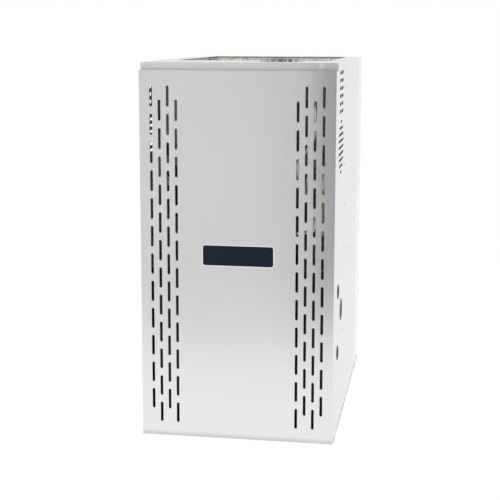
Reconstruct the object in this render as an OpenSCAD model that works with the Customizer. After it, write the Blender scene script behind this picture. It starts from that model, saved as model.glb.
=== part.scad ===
// Forced air gas furnace, upflow: casing with one tall slotted door, burners and draft
// inducer in front, tubular heat exchanger above the blower, controls beside the blower.
// Millimetres, +Z up, front faces -Y. Origin: centre of the footprint, on the floor.

/* [Casing] */
// Width of the casing
cab_w = 444.5; // [440:0.5:520]
// Height of the casing
cab_h = 863.6; // [855:0.1:1000]
// Depth of the casing sides, front edge to rear edge
cab_d = 730; // [720:1:800]
// Thickness of the casing sheet steel
sheet = 1; // [0.8:0.1:1.4]
// Width of the front and rear flanges of the casing sides
edge_flange = 20; // [16:1:24]
// Width of the duct flange along each side of the supply opening
duct_flange = 38; // [25:1:42]
// Height of the strip above the door
top_strip_h = 17.2; // [14:0.2:24]
// How far the strip runs down behind the door
strip_lap = 14; // [8:1:20]
// Depth of the top plate, and of the vestibule behind the door
vest_d = 190; // [186:1:210]
// Height of the blower deck above the floor
deck_z = 400; // [395:1:420]
// Width of the base pan's rim round the return opening
base_rim = 42; // [30:1:60]
// Height of the base pan's upturned edge
base_lip = 18; // [12:1:22]
// Gap between neighbouring sheets that aren't fastened face to face
sheet_gap = 0.5; // [0.3:0.1:1]

/* [Side openings] */
// Length of each louvre slot
louvre_len = 40; // [30:1:44]
// Height of each louvre slot
louvre_h = 8; // [5:0.5:9]
// Spacing of the louvre rows
louvre_pitch = 17.5; // [16:0.5:18]
// Number of louvre rows
louvre_rows = 6; // [4:1:6]
// First louvre column, behind the casing front
louvre_y = 50; // [24:1:56]
// Gap between the two louvre columns
louvre_gap = 8; // [5:1:12]
// Top louvre row, below the casing top
louvre_drop = 23.3; // [18:0.1:26]
// Diameter of the round louvre group
rosette_d = 122; // [90:1:126]
// Number of slots in the round group
rosette_rows = 9; // [7:2:9]
// Height of each slot in the round group
rosette_slot_h = 6; // [4:0.5:7]
// Centre of the round group, behind the casing front
rosette_y = 93; // [84:1:100]
// Centre of the round group, below the casing top
rosette_drop = 192; // [186:1:200]
// Diameter of the cable bushing holes
cable_hole_d = 30; // [26:1:34]
// Diameter of the plugged hole
plug_hole_d = 50; // [40:1:54]
// Diameter of the gas pipe hole in the left side
gas_hole_d = 44; // [38:1:50]
// Upper cable hole, behind the casing front
cable_y = 62; // [56:1:80]
// Upper cable hole, above the floor
cable_hi_z = 340; // [332:1:350]
// Lower cable hole, above the floor
cable_lo_z = 195; // [150:1:230]
// Plugged hole, behind the casing front
plug_y = 142; // [138:1:160]
// Plugged hole, above the floor
plug_z = 280; // [270:1:290]

/* [Front door] */
// How far the door stands in front of the casing
door_proud = 22; // [20:0.5:30]
// Thickness of the door sheet
door_sheet = 1; // [0.8:0.1:1.4]
// Outside radius of the door's folded edges
door_bend = 2.5; // [1.8:0.1:4]
// Gap under the door
door_floor_gap = 3; // [2:0.5:6]
// Width of the door slots
slot_w = 6.3; // [4:0.1:8]
// Length of the door slots, end to end
slot_len = 47; // [35:1:52]
// Spacing of the slots up a column
slot_pitch = 63.5; // [60:0.1:66]
// Number of slots in a column
slot_rows = 12; // [6:1:12]
// Number of columns each side
slot_columns = 4; // [2:1:4]
// Outer column, from the door's centre line
slot_x = 194.3; // [180:0.1:197]
// Spacing of the columns
slot_col_pitch = 19.05; // [14:0.05:24]
// Top of the high columns, centre of the first slot below the door's top edge
slot_drop = 57.1; // [40:0.1:70]
// How far every second column sits lower
slot_stagger = 31.75; // [20:0.25:34]
// Width of the badge plate
badge_w = 163.5; // [120:0.5:180]
// Height of the badge plate
badge_h = 48.5; // [30:0.5:60]
// Centre of the badge plate, from the door's centre line
badge_x = 3.5; // [0:0.5:12]
// Centre of the badge plate above the floor
badge_z = 432; // [400:1:480]
// Thickness of the badge plate
badge_t = 1.2; // [0.8:0.1:2]
// Corner radius of the badge plate
badge_r = 7; // [3:0.5:12]
// Diameter of the door studs
stud_d = 6; // [4:0.5:7]
// Length of the door studs
stud_len = 14; // [10:1:16]

/* [Blower door] */
// Depth that the blower door's panel is set back into the casing
pan_depth = 24; // [18:1:28]
// Thickness of the blower door's gasket
gasket_t = 2.5; // [1.5:0.1:4]
// Clearance between moving pieces
move_gap = 0.6; // [0.4:0.1:1]
// Diameter of the quarter-turn knobs
knob_d = 26; // [20:1:30]
// Height of the quarter-turn knobs
knob_h = 9; // [7:0.5:10]
// Diameter of the sight glass
glass_d = 24; // [16:1:30]

/* [Heat exchanger] */
// Outside diameter of the tubes
tube_d = 38; // [32:1:42]
// Wall of the tubes
tube_wall = 1.2; // [1:0.1:2]
// Sideways spacing of the four tubes
tube_pitch = 72; // [66:1:74]
// Burners and lowest pass, above the blower deck
burner_rise = 119; // [110:1:125]
// Highest pass, below the casing top
exit_drop = 139.6; // [130:0.1:150]
// Gap between the rear bends and the rear blanket
bend_rear_gap = 27; // [10:1:60]
// Thickness of the insulation blankets
blanket_t = 12; // [8:1:14]
// Diameter of the flue outlet, inside
flue_d = 101.6; // [90:0.1:104]
// Flue outlet, from the centre line
flue_x = 80; // [74:1:90]
// Flue outlet, behind the casing front
flue_y = 122; // [115:1:128]
// How far the flue collar stands above the casing top
flue_rise = 5; // [2:0.5:20]

/* [Inducer] */
// Diameter of the inducer wheel
ind_wheel_d = 104; // [90:1:110]
// Width of the inducer wheel
ind_wheel_w = 28; // [22:1:32]
// Outside diameter of the inducer housing
ind_case_d = 140; // [134:1:150]
// Depth of the inducer housing
ind_case_h = 44; // [40:1:48]
// Diameter of the inducer motor
ind_motor_d = 84; // [70:1:90]
// Length of the inducer motor
ind_motor_l = 52; // [45:1:56]
// Diameter of the inducer shaft
ind_shaft_d = 8; // [6:0.5:10]
// Depth of the collector box
collector_d = 42; // [36:1:44]

/* [Gas train] */
// Diameter of the manifold pipe
manifold_d = 24; // [20:1:26]
// Manifold, behind the casing front
manifold_y = 42; // [40:1:46]
// Diameter of the burner mouths
burner_mouth_d = 34; // [28:1:40]
// Length of the burners
burner_len = 88; // [80:1:92]
// Width of the gas valve
valve_w = 66; // [60:1:70]
// Height of the gas valve
valve_h = 70; // [60:1:80]
// Depth of the gas valve
valve_d = 62; // [56:1:66]
// Thread bore of the gas inlet
gas_bore_d = 18.6; // [16:0.1:22]
// Diameter of the gas valve knob
valve_knob_d = 30; // [24:1:34]
// Height of the gas valve knob
valve_knob_h = 12; // [9:0.5:14]

/* [Blower] */
// Diameter of the blower wheel
wheel_d = 254; // [240:1:256]
// Width of the blower wheel
wheel_w = 203; // [190:1:206]
// Number of blades
blade_count = 36; // [24:1:40]
// Width of the blower housing
scroll_w = 230; // [224:1:236]
// Inlet diameter of the blower housing
inlet_d = 204; // [180:1:210]
// Wheel axis, behind the casing front
wheel_y = 430; // [424:1:440]
// Wheel axis, above the floor
wheel_z = 208; // [206:1:212]
// Diameter of the blower motor
motor_d = 139; // [120:1:146]
// Length of the blower motor
motor_l = 122; // [110:1:130]
// Diameter of the blower shaft
shaft_d = 12.7; // [10:0.1:16]
// Radial clearance of a shaft in its bearing
run_fit = 0.05; // [0.02:0.01:0.09]

/* [Controls] */
// Width of the control board
board_w = 180; // [150:1:190]
// Height of the control board
board_h = 130; // [110:1:140]
// Top of the control board, below the blower deck
board_drop = 20; // [10:1:30]
// Control board, behind the blower door's panel
board_back = 76; // [60:1:90]
// Width of the transformer
trans_w = 58; // [50:1:64]
// Height of the transformer
trans_h = 50; // [40:1:56]
// Depth of the transformer
trans_d = 56; // [46:1:60]
// Width of the junction box, out from the casing side
jbox_w = 56; // [45:1:60]
// Depth of the junction box, front to back
jbox_d = 68; // [60:1:80]
// Height of the junction box
jbox_h = 76; // [68:1:80]
// Diameter of the run capacitor
cap_d = 40; // [35:1:44]
// Height of the run capacitor
cap_h = 56; // [50:1:64]
// Diameter of the pressure switch
psw_d = 66; // [60:1:70]

/* [Fasteners] */
// Diameter of the screw heads
head_d = 9; // [7:0.5:11]
// Height of the screw heads
head_h = 2; // [1.5:0.1:3]

/* [Hidden] */
$fn = 64;
half_w = cab_w / 2;
inner_x = half_w - sheet;
// Casing front plane in the row's frame: the footprint is centred
case_y0 = (door_proud + badge_t - cab_d - head_h) / 2;
inner_back = cab_d - 2 * sheet;
top_in = cab_h - sheet;

door_top = cab_h - top_strip_h;
door_h = door_top - door_floor_gap;
// The strip lies on the casing front, so the door's returns stop short of it
door_back = sheet + move_gap;
slot_first_z = door_top - slot_drop;
stud_x = half_w - edge_flange / 2;
stud_lo_z = 120;
stud_hi_z = door_top - 110;

pan_half_w = half_w - edge_flange - move_gap;
pan_z0 = base_lip + 6;
pan_z1 = deck_z - 8;
pan_rim = 6;
rim_y = gasket_t + move_gap;
knob_x = pan_half_w - 18;
knob_z = deck_z - 50;
knob_shank_d = 8;
// Tongue of a quarter-turn knob, long enough to lie behind its strike
tongue_len = pan_half_w + edge_flange / 2 - knob_x;
strike_t = 1.5;

blower_deck_top = deck_z + sheet;
hx_x = [for (i = [0 : 3]) (i - 1.5) * tube_pitch];
burner_z = blower_deck_top + burner_rise;
exit_z = cab_h - exit_drop;
pass_pitch = (exit_z - burner_z) / 3;
tube_r = tube_d / 2;
bend_r = pass_pitch / 2;
bend_front_y = vest_d + sheet + 6 + bend_r + tube_r;
bend_rear_y = inner_back - blanket_t - bend_rear_gap - bend_r - tube_r;
port_gap = 0.4;
baffle_y = bend_rear_y - 40;

collector_z0 = exit_z - tube_r - 12;
collector_z1 = exit_z + tube_r + 12;
collector_half_w = 1.5 * tube_pitch + tube_r + 14;
ind_duct_w = 48;
ind_x = flue_x - ind_case_d / 2 + ind_duct_w / 2;
ind_z = exit_z;
gasket_ring_t = 2;
ind_back_y = vest_d - collector_d - gasket_ring_t;
ind_front_y = ind_back_y - ind_case_h;
ind_duct_top = ind_z + ind_case_d / 2 + 12;
ind_eye_d = 58;
flue_wall = 1.2;

box_z0 = burner_z - 34;
box_z1 = burner_z + 40;
box_y0 = vest_d - 82;
box_half_w = 1.5 * tube_pitch + tube_r + 16;
burner_mouth_y = manifold_y + manifold_d / 2 + 10;
valve_x1 = -box_half_w + 18;
valve_x0 = valve_x1 - valve_w;
valve_y0 = manifold_y - valve_d / 2;
valve_z0 = box_z1 + 22;
drop_x = (valve_x0 + valve_x1) / 2;
gas_in_z = valve_z0 + valve_h / 2;
boss_len = 10;

wheel_r = wheel_d / 2;
blade_chord = 24;
blade_t = 1;
eye_r = wheel_r - blade_chord + 2;
scroll_half = scroll_w / 2;
tongue_angle = 80;
scroll_start = 1.09;
scroll_grow = 0.46;
motor_x0 = 28;
mount_w = 16;
rail_h = 24;
board_y = pan_depth + board_back;

COLUMNS = [for (side = [-1, 1], i = [0 : slot_columns - 1])
    [side * (slot_x - i * slot_col_pitch), slot_first_z - (i % 2) * slot_stagger]];

// ---------------------------------------------------------------- shared shapes

// From casing coordinates (y = 0 at the casing front) to the row's frame
module on_case() translate([0, case_y0, 0]) children();

module block(lo, hi) translate(lo) cube(hi - lo);

// Rods along X and Y, between two stations
module rod_x(d, x0, x1) translate([x0, 0, 0]) rotate([0, 90, 0]) cylinder(d = d, h = x1 - x0);
module rod_y(d, y0, y1) translate([0, y0, 0]) rotate([-90, 0, 0]) cylinder(d = d, h = y1 - y0);

// A drawing of (y, z) extruded along X, and one of (x, z) extruded along Y
module plate_x(x0, t) translate([x0, 0, 0]) rotate([90, 0, 90]) linear_extrude(t) children();
module plate_y(y0, t) translate([0, y0 + t, 0]) rotate([90, 0, 0]) linear_extrude(t) children();

module slot_2d(len, w) {
    square([len - w, w], center = true);
    for (s = [-1, 1]) translate([s * (len - w) / 2, 0]) circle(d = w);
}

module round_rect_2d(w, h, r) {
    square([w - 2 * r, h], center = true);
    square([w, h - 2 * r], center = true);
    for (x = [-1, 1], y = [-1, 1]) translate([x * (w / 2 - r), y * (h / 2 - r)]) circle(r = r);
}

// Tube of n sides swept through points; each ring lies across the mean of its two legs
function unit(v) = v / norm(v);
function leg(p, i) = unit(p[min(i + 1, len(p) - 1)] - p[max(i - 1, 0)]);
function side_of(d) = unit(cross(d, abs(d[2]) < 0.9 ? [0, 0, 1] : [1, 0, 0]));
// Carries the ring's start direction along the route, so that the tube doesn't twist
function carried(p, i) = i == 0 ? side_of(leg(p, 0))
    : let(prev = carried(p, i - 1), d = leg(p, i)) unit(prev - (prev * d) * d);
module swept(points, d, n = 8) {
    rings = [for (i = [0 : len(points) - 1])
        let(t = leg(points, i), u = carried(points, i), v = cross(t, u))
        [for (k = [0 : n - 1]) points[i] + d / 2 * (cos(360 * k / n) * u + sin(360 * k / n) * v)]];
    last = (len(points) - 1) * n;
    polyhedron(
        points = [for (ring = rings) each ring],
        faces = concat(
            [[for (k = [0 : n - 1]) k]],
            [for (i = [0 : len(points) - 2], k = [0 : n - 1])
                let(a = i * n + k, b = i * n + (k + 1) % n) each [[a, b + n, b], [a, a + n, b + n]]],
            [[for (k = [n - 1 : -1 : 0]) last + k]]));
}
// Rounds a hand-chosen route: a Catmull-Rom curve with s steps in each leg
function blend_point(a, b, c, d, t) = 0.5 * ((2 * b) + (c - a) * t
    + (2 * a - 5 * b + 4 * c - d) * t * t + (3 * b - a - 3 * c + d) * t * t * t);
function smooth_route(p, s = 4) = concat(
    [for (i = [0 : len(p) - 2], k = [0 : s - 1])
        blend_point(p[max(i - 1, 0)], p[i], p[i + 1], p[min(i + 2, len(p) - 1)], k / s)],
    [p[len(p) - 1]]);

// ---------------------------------------------------------------- casing

// Louvres of one side, drawn in (y, z); the round group keeps clear of a gap from clear_z0 down
module louvres_2d(clear_z0 = 0) {
    for (row = [0 : louvre_rows - 1], col = [0 : 1])
        translate([louvre_y + louvre_len / 2 + col * (louvre_len + louvre_gap),
            cab_h - louvre_drop - row * louvre_pitch])
            slot_2d(louvre_len, louvre_h);
    rosette_pitch = (rosette_d - rosette_slot_h) / (rosette_rows - 1);
    for (row = [0 : rosette_rows - 1]) {
        z = (row - (rosette_rows - 1) / 2) * rosette_pitch;
        chord = 2 * sqrt(max(pow(rosette_d / 2, 2) - z * z, pow(rosette_slot_h * 1.4, 2)));
        if (cab_h - rosette_drop + z - rosette_slot_h / 2 > clear_z0)
            translate([rosette_y, cab_h - rosette_drop + z]) slot_2d(chord, rosette_slot_h);
    }
}

// Right side as drawn: sheet, front and rear flanges, duct flange at the top
module casing_side(clear_z0 = 0) {
    difference() {
        block([inner_x, 0, 0], [half_w, cab_d, cab_h]);
        plate_x(inner_x - 1, sheet + 2) {
            louvres_2d(clear_z0);
            children();
        }
    }
    block([half_w - edge_flange, 0, 0], [inner_x, sheet, top_in]);
    block([half_w - edge_flange, cab_d - sheet, 0], [inner_x, cab_d, top_in]);
    block([half_w - duct_flange, vest_d, top_in], [inner_x, cab_d, cab_h]);
    // strike that the blower door's tongue turns behind
    block([pan_half_w + move_gap, pan_depth - 1 - strike_t, knob_z - 14], [inner_x, pan_depth - 1, knob_z + 14]);
    block([inner_x - strike_t, pan_depth - 16, knob_z - 14], [inner_x, pan_depth - 1, knob_z + 14]);
}

module right_side_panel() color("gainsboro") on_case() casing_side() {
    for (z = [cable_hi_z, cable_lo_z]) translate([cable_y, z]) circle(d = cable_hole_d);
    translate([plug_y, plug_z]) circle(d = plug_hole_d);
}

// The round group leaves out the slots that would cut into the gas pipe hole
module left_side_panel() color("gainsboro") on_case() mirror([1, 0, 0]) casing_side(gas_in_z + gas_hole_d / 2 + 4) {
    translate([cable_y, cable_lo_z]) circle(d = cable_hole_d);
    translate([manifold_y, gas_in_z]) circle(d = gas_hole_d);
}

module back_panel() color("gainsboro") on_case()
    block([-inner_x, inner_back, 0], [inner_x, cab_d - sheet, top_in]);

// Return-air opening is what the rim leaves free
module base_pan() color("silver") on_case() {
    difference() {
        block([-inner_x, sheet, 0], [inner_x, inner_back, sheet]);
        block([-inner_x + base_rim, base_rim, -1], [inner_x - base_rim, inner_back - base_rim, sheet + 1]);
    }
    for (s = [-1, 1]) translate([s * (inner_x - sheet / 2), 0, 0])
        block([-sheet / 2, sheet, 0], [sheet / 2, inner_back, base_lip]);
    block([-inner_x, sheet, 0], [inner_x, 2 * sheet, base_lip]);
    block([-inner_x, inner_back - sheet, 0], [inner_x, inner_back, base_lip]);
}

module top_plate() color("gainsboro") on_case() {
    difference() {
        block([-inner_x, -sheet, top_in], [inner_x, vest_d, cab_h]);
        translate([flue_x, flue_y, top_in - 1]) cylinder(d = flue_d + 2 * flue_wall + 2 * sheet_gap, h = sheet + 2);
    }
    block([-half_w, -sheet, door_top - strip_lap], [half_w, 0, cab_h]);
}

// Bulkhead between the burners and the heat exchanger
module vestibule_panel() color("silver") on_case() difference() {
    block([-inner_x, vest_d, blower_deck_top], [inner_x, vest_d + sheet, top_in]);
    for (x = hx_x, z = [burner_z, exit_z])
        translate([x, 0, z]) rod_y(tube_d + 2 * port_gap, vest_d - 1, vest_d + sheet + 1);
    translate([limit_x, 0, limit_z]) rod_y(limit_hole_d, vest_d - 1, vest_d + sheet + 1);
}

throat_y0 = wheel_y + cos(tongue_angle) * wheel_r * scroll_start;
throat_y1 = wheel_y + wheel_r * (scroll_start + scroll_grow);
module blower_deck() color("silver") on_case() difference() {
    block([-inner_x, sheet, deck_z], [inner_x, inner_back, blower_deck_top]);
    block([-scroll_half + sheet, throat_y0 + sheet, deck_z - 1],
        [scroll_half - sheet, throat_y1 - sheet, blower_deck_top + 1]);
    translate([harness_x, harness_y, deck_z - 1]) cylinder(d = harness_hole_d, h = sheet + 2);
}

// Hex washer-head screw, head along +Z from the origin
module screw_head() {
    cylinder(d = head_d, h = head_h * 0.4);
    cylinder(d = head_d * 0.72, h = head_h, $fn = 6);
}

// Places in (y, z) of the screws in each casing side
SIDE_SCREWS = [[14, cab_h - 8], [vest_d - 30, cab_h - 8], [vest_d + 6, cab_h - 60],
    [vest_d + 6, burner_z + 100], [vest_d + 6, burner_z + 6], [vest_d + 6, deck_z + 24],
    [60, deck_z + 4], [300, deck_z + 4], [cab_d - 60, deck_z + 4],
    [60, base_lip - 6], [200, base_lip - 6], [cab_d - 60, base_lip - 6], [vest_d + 6, plug_z - 64],
    [cab_d - 12, 200], [cab_d - 12, deck_z + 60], [cab_d - 12, cab_h - 120]];
module casing_screws() color("silver") on_case() {
    for (s = [-1, 1], p = SIDE_SCREWS)
        translate([s * half_w, p[0], p[1]]) rotate([0, s * 90, 0]) screw_head();
    for (s = [-1, 1])
        translate([s * (half_w - 37), -sheet, cab_h - 6]) rotate([90, 0, 0]) screw_head();
    for (s = [-1, 1], z = [60, deck_z, cab_h - 60])
        translate([s * (half_w - edge_flange / 2), cab_d, z]) rotate([-90, 0, 0]) screw_head();
}

// Snap bushing in a side hole: lip outside, neck through the sheet, bore for the cable
bushing_wall = 3.5;
bushing_lip = 1.6;
bushing_depth = 9;
module bushing(hole) difference() {
    union() {
        rod_x(hole - 0.4, -bushing_depth, 0.2);
        rod_x(hole + 4, 0, bushing_lip);
    }
    rod_x(hole - 0.4 - 2 * bushing_wall, -bushing_depth - 1, bushing_lip + 1);
}
module side_bushings() color("black") on_case() {
    for (z = [cable_hi_z, cable_lo_z]) translate([half_w, cable_y, z]) bushing(cable_hole_d);
    translate([-half_w, cable_y, cable_lo_z]) mirror([1, 0, 0]) bushing(cable_hole_d);
    translate([-half_w, manifold_y, gas_in_z]) mirror([1, 0, 0]) bushing(gas_hole_d);
}

// Dished plug in the unused hole
module hole_plug() color("dimgray") on_case() translate([half_w, plug_y, plug_z]) {
    difference() {
        union() {
            rod_x(plug_hole_d - 0.6, -7, 0.2);
            rod_x(plug_hole_d + 4, 0, 1.2);
        }
        rod_x(plug_hole_d - 6, -5, 3);
    }
}

// ---------------------------------------------------------------- front door

// Plan of the door in (x, y): a tray whose front corners are folded to a radius
module door_plan(grow, r) {
    hull_w = 2 * half_w - 2 * grow;
    depth = door_proud - door_back;
    difference() {
        translate([0, -door_proud + grow + depth]) round_rect_2d(hull_w, 2 * depth, r);
        translate([-cab_w, -door_back]) square([2 * cab_w, 2 * cab_d]);
    }
}

module front_door() color("lightgray") on_case() difference() {
    union() {
        translate([0, 0, door_floor_gap]) linear_extrude(door_h) difference() {
            door_plan(0, door_bend);
            door_plan(door_sheet, door_bend - door_sheet);
        }
        for (z = [door_floor_gap, door_top - door_sheet])
            translate([0, 0, z]) linear_extrude(door_sheet) door_plan(0, door_bend);
    }
    plate_y(-door_proud - 1, door_sheet + 2)
        for (c = COLUMNS, row = [0 : slot_rows - 1])
            translate([c[0], c[1] - row * slot_pitch]) rotate(90) slot_2d(slot_len, slot_w);
}

module badge_plate() color("midnightblue") on_case()
    translate([badge_x, 0, badge_z]) plate_y(-door_proud - badge_t, badge_t) round_rect_2d(badge_w, badge_h, badge_r);

STUDS = [for (s = [-1, 1], z = [stud_lo_z, stud_hi_z]) [s * stud_x, z]];
clip_size = 15;
module door_studs() color("silver") on_case() for (p = STUDS) translate([p[0], 0, p[1]]) {
    rod_y(stud_d, -stud_len, 0);
    rod_y(stud_d + 3, -1.5, 0);
}
module door_clips() color("white") on_case() for (p = STUDS) translate([p[0], 0, p[1]]) difference() {
    block([-clip_size / 2, -door_proud + door_sheet, -clip_size / 2], [clip_size / 2, -5, clip_size / 2]);
    rod_y(stud_d + 2 * move_gap, -door_proud + door_sheet + 2, 0);
}

// ---------------------------------------------------------------- blower door

pan_w = 2 * pan_half_w;
pan_h = pan_z1 - pan_z0;
pan_mid = (pan_z0 + pan_z1) / 2;
module pan_2d(shrink, r) translate([0, pan_mid]) round_rect_2d(pan_w - 2 * shrink, pan_h - 2 * shrink, r);
glass_x = 0;
glass_z = deck_z - 90;
module blower_door() color("darkgray") on_case() difference() {
    union() {
        plate_y(-rim_y - sheet, sheet) pan_2d(-pan_rim, 8);
        plate_y(-rim_y, rim_y + pan_depth) pan_2d(0, 5);
    }
    plate_y(-rim_y - sheet - 1, rim_y + pan_depth + 1) pan_2d(sheet, 4);
    translate([glass_x, 0, glass_z]) rod_y(glass_d + 2 * sheet_gap, pan_depth - 5, pan_depth + 5);
    for (s = [-1, 1]) translate([s * knob_x, 0, knob_z]) rod_y(knob_shank_d + 2 * move_gap, pan_depth - 5, pan_depth + 5);
}

module blower_door_gasket() color("dimgray") on_case() plate_y(-rim_y, gasket_t) difference() {
    pan_2d(-pan_rim, 8);
    pan_2d(0, 5);
}

module sight_glass() color("lightblue", 0.5) on_case() translate([glass_x, 0, glass_z]) {
    rod_y(glass_d, pan_depth - sheet, pan_depth + 1);
    rod_y(glass_d + 6, pan_depth - sheet - 2, pan_depth - sheet);
}

// Quarter-turn knob: winged grip in the pan, shank through it, tongue behind it
module quarter_turn() {
    rod_y(knob_d, pan_depth - sheet - move_gap - knob_h, pan_depth - sheet - move_gap);
    block([-2.5, pan_depth - sheet - move_gap - knob_h - 6, -knob_d / 2 + 1],
        [2.5, pan_depth - sheet - move_gap - knob_h + 1, knob_d / 2 - 1]);
    rod_y(knob_shank_d, pan_depth - sheet - move_gap - 1, pan_depth + move_gap + 2);
    block([-5, pan_depth + move_gap, -5], [5, pan_depth + move_gap + 3, tongue_len]);
}
module door_knob_left() color("black") on_case() translate([-knob_x, 0, knob_z]) quarter_turn();
module door_knob_right() color("black") on_case() translate([knob_x, 0, knob_z]) quarter_turn();

// ---------------------------------------------------------------- heat exchanger

blanket_z0 = blower_deck_top;
blanket_top = top_in - 3;
blanket_y0 = vest_d + sheet;
module side_insulation() color("lightgray") on_case() for (s = [-1, 1])
    translate([s * (inner_x - blanket_t / 2), 0, 0])
        block([-blanket_t / 2, blanket_y0, blanket_z0], [blanket_t / 2, inner_back, blanket_top]);
module back_insulation() color("lightgray") on_case()
    block([-inner_x + blanket_t, inner_back - blanket_t, blanket_z0],
        [inner_x - blanket_t, inner_back, top_in]);

// Round bar along the serpentine's four passes, of diameter d
module serpentine(d, over) {
    for (i = [0 : 3]) translate([0, 0, i * pass_pitch])
        rod_y(d, (i == 0 || i == 3) ? vest_d - over : bend_front_y, bend_rear_y);
    for (i = [0, 2]) translate([0, bend_rear_y, (i + 0.5) * pass_pitch]) bend(d, 0);
    translate([0, bend_front_y, 1.5 * pass_pitch]) bend(d, 180);
}
module bend(d, turn) rotate([turn, 0, 0]) rotate([90, 0, 90])
    rotate([0, 0, -90]) rotate_extrude(angle = 180) translate([bend_r, 0]) circle(d = d);

module exchanger_tube(n) color("silver") on_case() translate([hx_x[n], 0, burner_z]) difference() {
    union() {
        serpentine(tube_d, 1.2);
        for (z = [0, 3 * pass_pitch]) translate([0, 0, z]) rod_y(tube_d + 8, vest_d - 1.2, vest_d);
    }
    serpentine(tube_d - 2 * tube_wall, 5);
}
module exchanger_tube_1() exchanger_tube(0);
module exchanger_tube_2() exchanger_tube(1);
module exchanger_tube_3() exchanger_tube(2);
module exchanger_tube_4() exchanger_tube(3);

baffle_half_w = inner_x - blanket_t;
module tube_baffle() color("silver") on_case() difference() {
    block([-baffle_half_w, baffle_y, burner_z - bend_r], [baffle_half_w, baffle_y + sheet, exit_z + bend_r]);
    for (x = hx_x, i = [0 : 3]) translate([x, 0, burner_z + i * pass_pitch])
        rod_y(tube_d + 2 * port_gap, baffle_y - 1, baffle_y + sheet + 1);
}

// Box that gathers the four tube outlets in front of the bulkhead
module collector_box() color("silver") on_case() difference() {
    block([-collector_half_w, vest_d - collector_d, collector_z0], [collector_half_w, vest_d, collector_z1]);
    block([-collector_half_w + sheet, vest_d - collector_d + sheet, collector_z0 + sheet],
        [collector_half_w - sheet, vest_d + 1, collector_z1 - sheet]);
    translate([ind_x, 0, ind_z]) rod_y(ind_eye_d, vest_d - collector_d - 1, vest_d - collector_d + 2);
}

// ---------------------------------------------------------------- inducer

module inducer_gasket() color("dimgray") on_case() translate([ind_x, 0, ind_z]) difference() {
    rod_y(ind_eye_d + 24, ind_back_y, ind_back_y + gasket_ring_t);
    rod_y(ind_eye_d, ind_back_y - 1, ind_back_y + gasket_ring_t + 1);
}

ind_wall = 2;
ind_duct_x1 = flue_x + ind_duct_w / 2;
ind_duct_x0 = flue_x - ind_duct_w / 2;
module inducer_housing() color("dimgray") on_case() difference() {
    union() {
        translate([ind_x, 0, ind_z]) rod_y(ind_case_d, ind_front_y, ind_back_y);
        block([ind_duct_x0, ind_front_y, ind_z], [ind_duct_x1, ind_back_y, ind_duct_top]);
        // nipple for the pressure switch's hose
        translate([port_x, ind_mid_y, port_z - 10]) cylinder(d = 6, h = 10);
        translate([ind_x, 0, ind_z]) for (a = [30, 150, 270])
            rotate([0, a, 0]) translate([ind_case_d / 2 + 3, 0, 0]) rod_y(16, ind_back_y - 4, ind_back_y);
    }
    translate([ind_x, 0, ind_z]) rod_y(ind_case_d - 2 * ind_wall, ind_front_y + ind_wall, ind_back_y - ind_wall);
    block([ind_duct_x0 + ind_wall, ind_front_y + ind_wall, ind_z], [ind_duct_x1 - ind_wall, ind_back_y - ind_wall, ind_duct_top + 1]);
    translate([ind_x, 0, ind_z]) rod_y(ind_eye_d, ind_back_y - ind_wall - 1, ind_back_y + 1);
    translate([ind_x, 0, ind_z]) rod_y(ind_shaft_d + 6, ind_front_y - 1, ind_front_y + ind_wall + 1);
}

ind_wheel_y0 = (ind_front_y + ind_back_y - ind_wheel_w) / 2;
ind_blades = 16;
module inducer_wheel() color("silver") on_case() translate([ind_x, 0, ind_z]) difference() {
    union() {
        rod_y(ind_wheel_d, ind_wheel_y0, ind_wheel_y0 + 1.5);
        rod_y(ind_shaft_d + 10, ind_wheel_y0, ind_wheel_y0 + 16);
        for (a = [0 : ind_blades - 1]) rotate([0, a * 360 / ind_blades, 0])
            block([ind_wheel_d / 2 - 24, ind_wheel_y0 + 1, -0.6], [ind_wheel_d / 2 - 0.5, ind_wheel_y0 + ind_wheel_w, 0.6]);
        difference() {
            rod_y(ind_wheel_d, ind_wheel_y0 + ind_wheel_w - 2, ind_wheel_y0 + ind_wheel_w);
            rod_y(ind_wheel_d - 16, ind_wheel_y0 + ind_wheel_w - 3, ind_wheel_y0 + ind_wheel_w + 1);
        }
    }
    rod_y(ind_shaft_d, ind_wheel_y0 - 1, ind_wheel_y0 + 17);
}

ind_motor_y1 = ind_front_y;
ind_motor_y0 = ind_motor_y1 - ind_motor_l;
ind_bearing_depth = 30;
module inducer_shaft() color("silver") on_case() translate([ind_x, 0, ind_z])
    rod_y(ind_shaft_d, ind_motor_y1 - ind_bearing_depth, ind_wheel_y0 + 16);
module inducer_motor() color("dimgray") on_case() translate([ind_x, 0, ind_z]) difference() {
    union() {
        rod_y(ind_motor_d, ind_motor_y0 + 4, ind_motor_y1 - 8);
        rod_y(ind_motor_d - 12, ind_motor_y0, ind_motor_y0 + 5);
        rod_y(ind_motor_d - 30, ind_motor_y1 - 9, ind_motor_y1);
        for (a = [45 : 90 : 315]) rotate([0, a, 0]) translate([ind_motor_d / 2 + 4, 0, 0]) rod_y(9, ind_motor_y1 - 20, ind_motor_y1);
        for (a = [0, 90]) rotate([0, a + 45, 0])
            block([-ind_motor_d / 2 - 4, ind_motor_y1 - 20, -3], [ind_motor_d / 2 + 4, ind_motor_y1 - 14, 3]);
    }
    rod_y(ind_shaft_d + 2 * run_fit, ind_motor_y1 - ind_bearing_depth - 1, ind_motor_y1 + 1);
}

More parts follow.
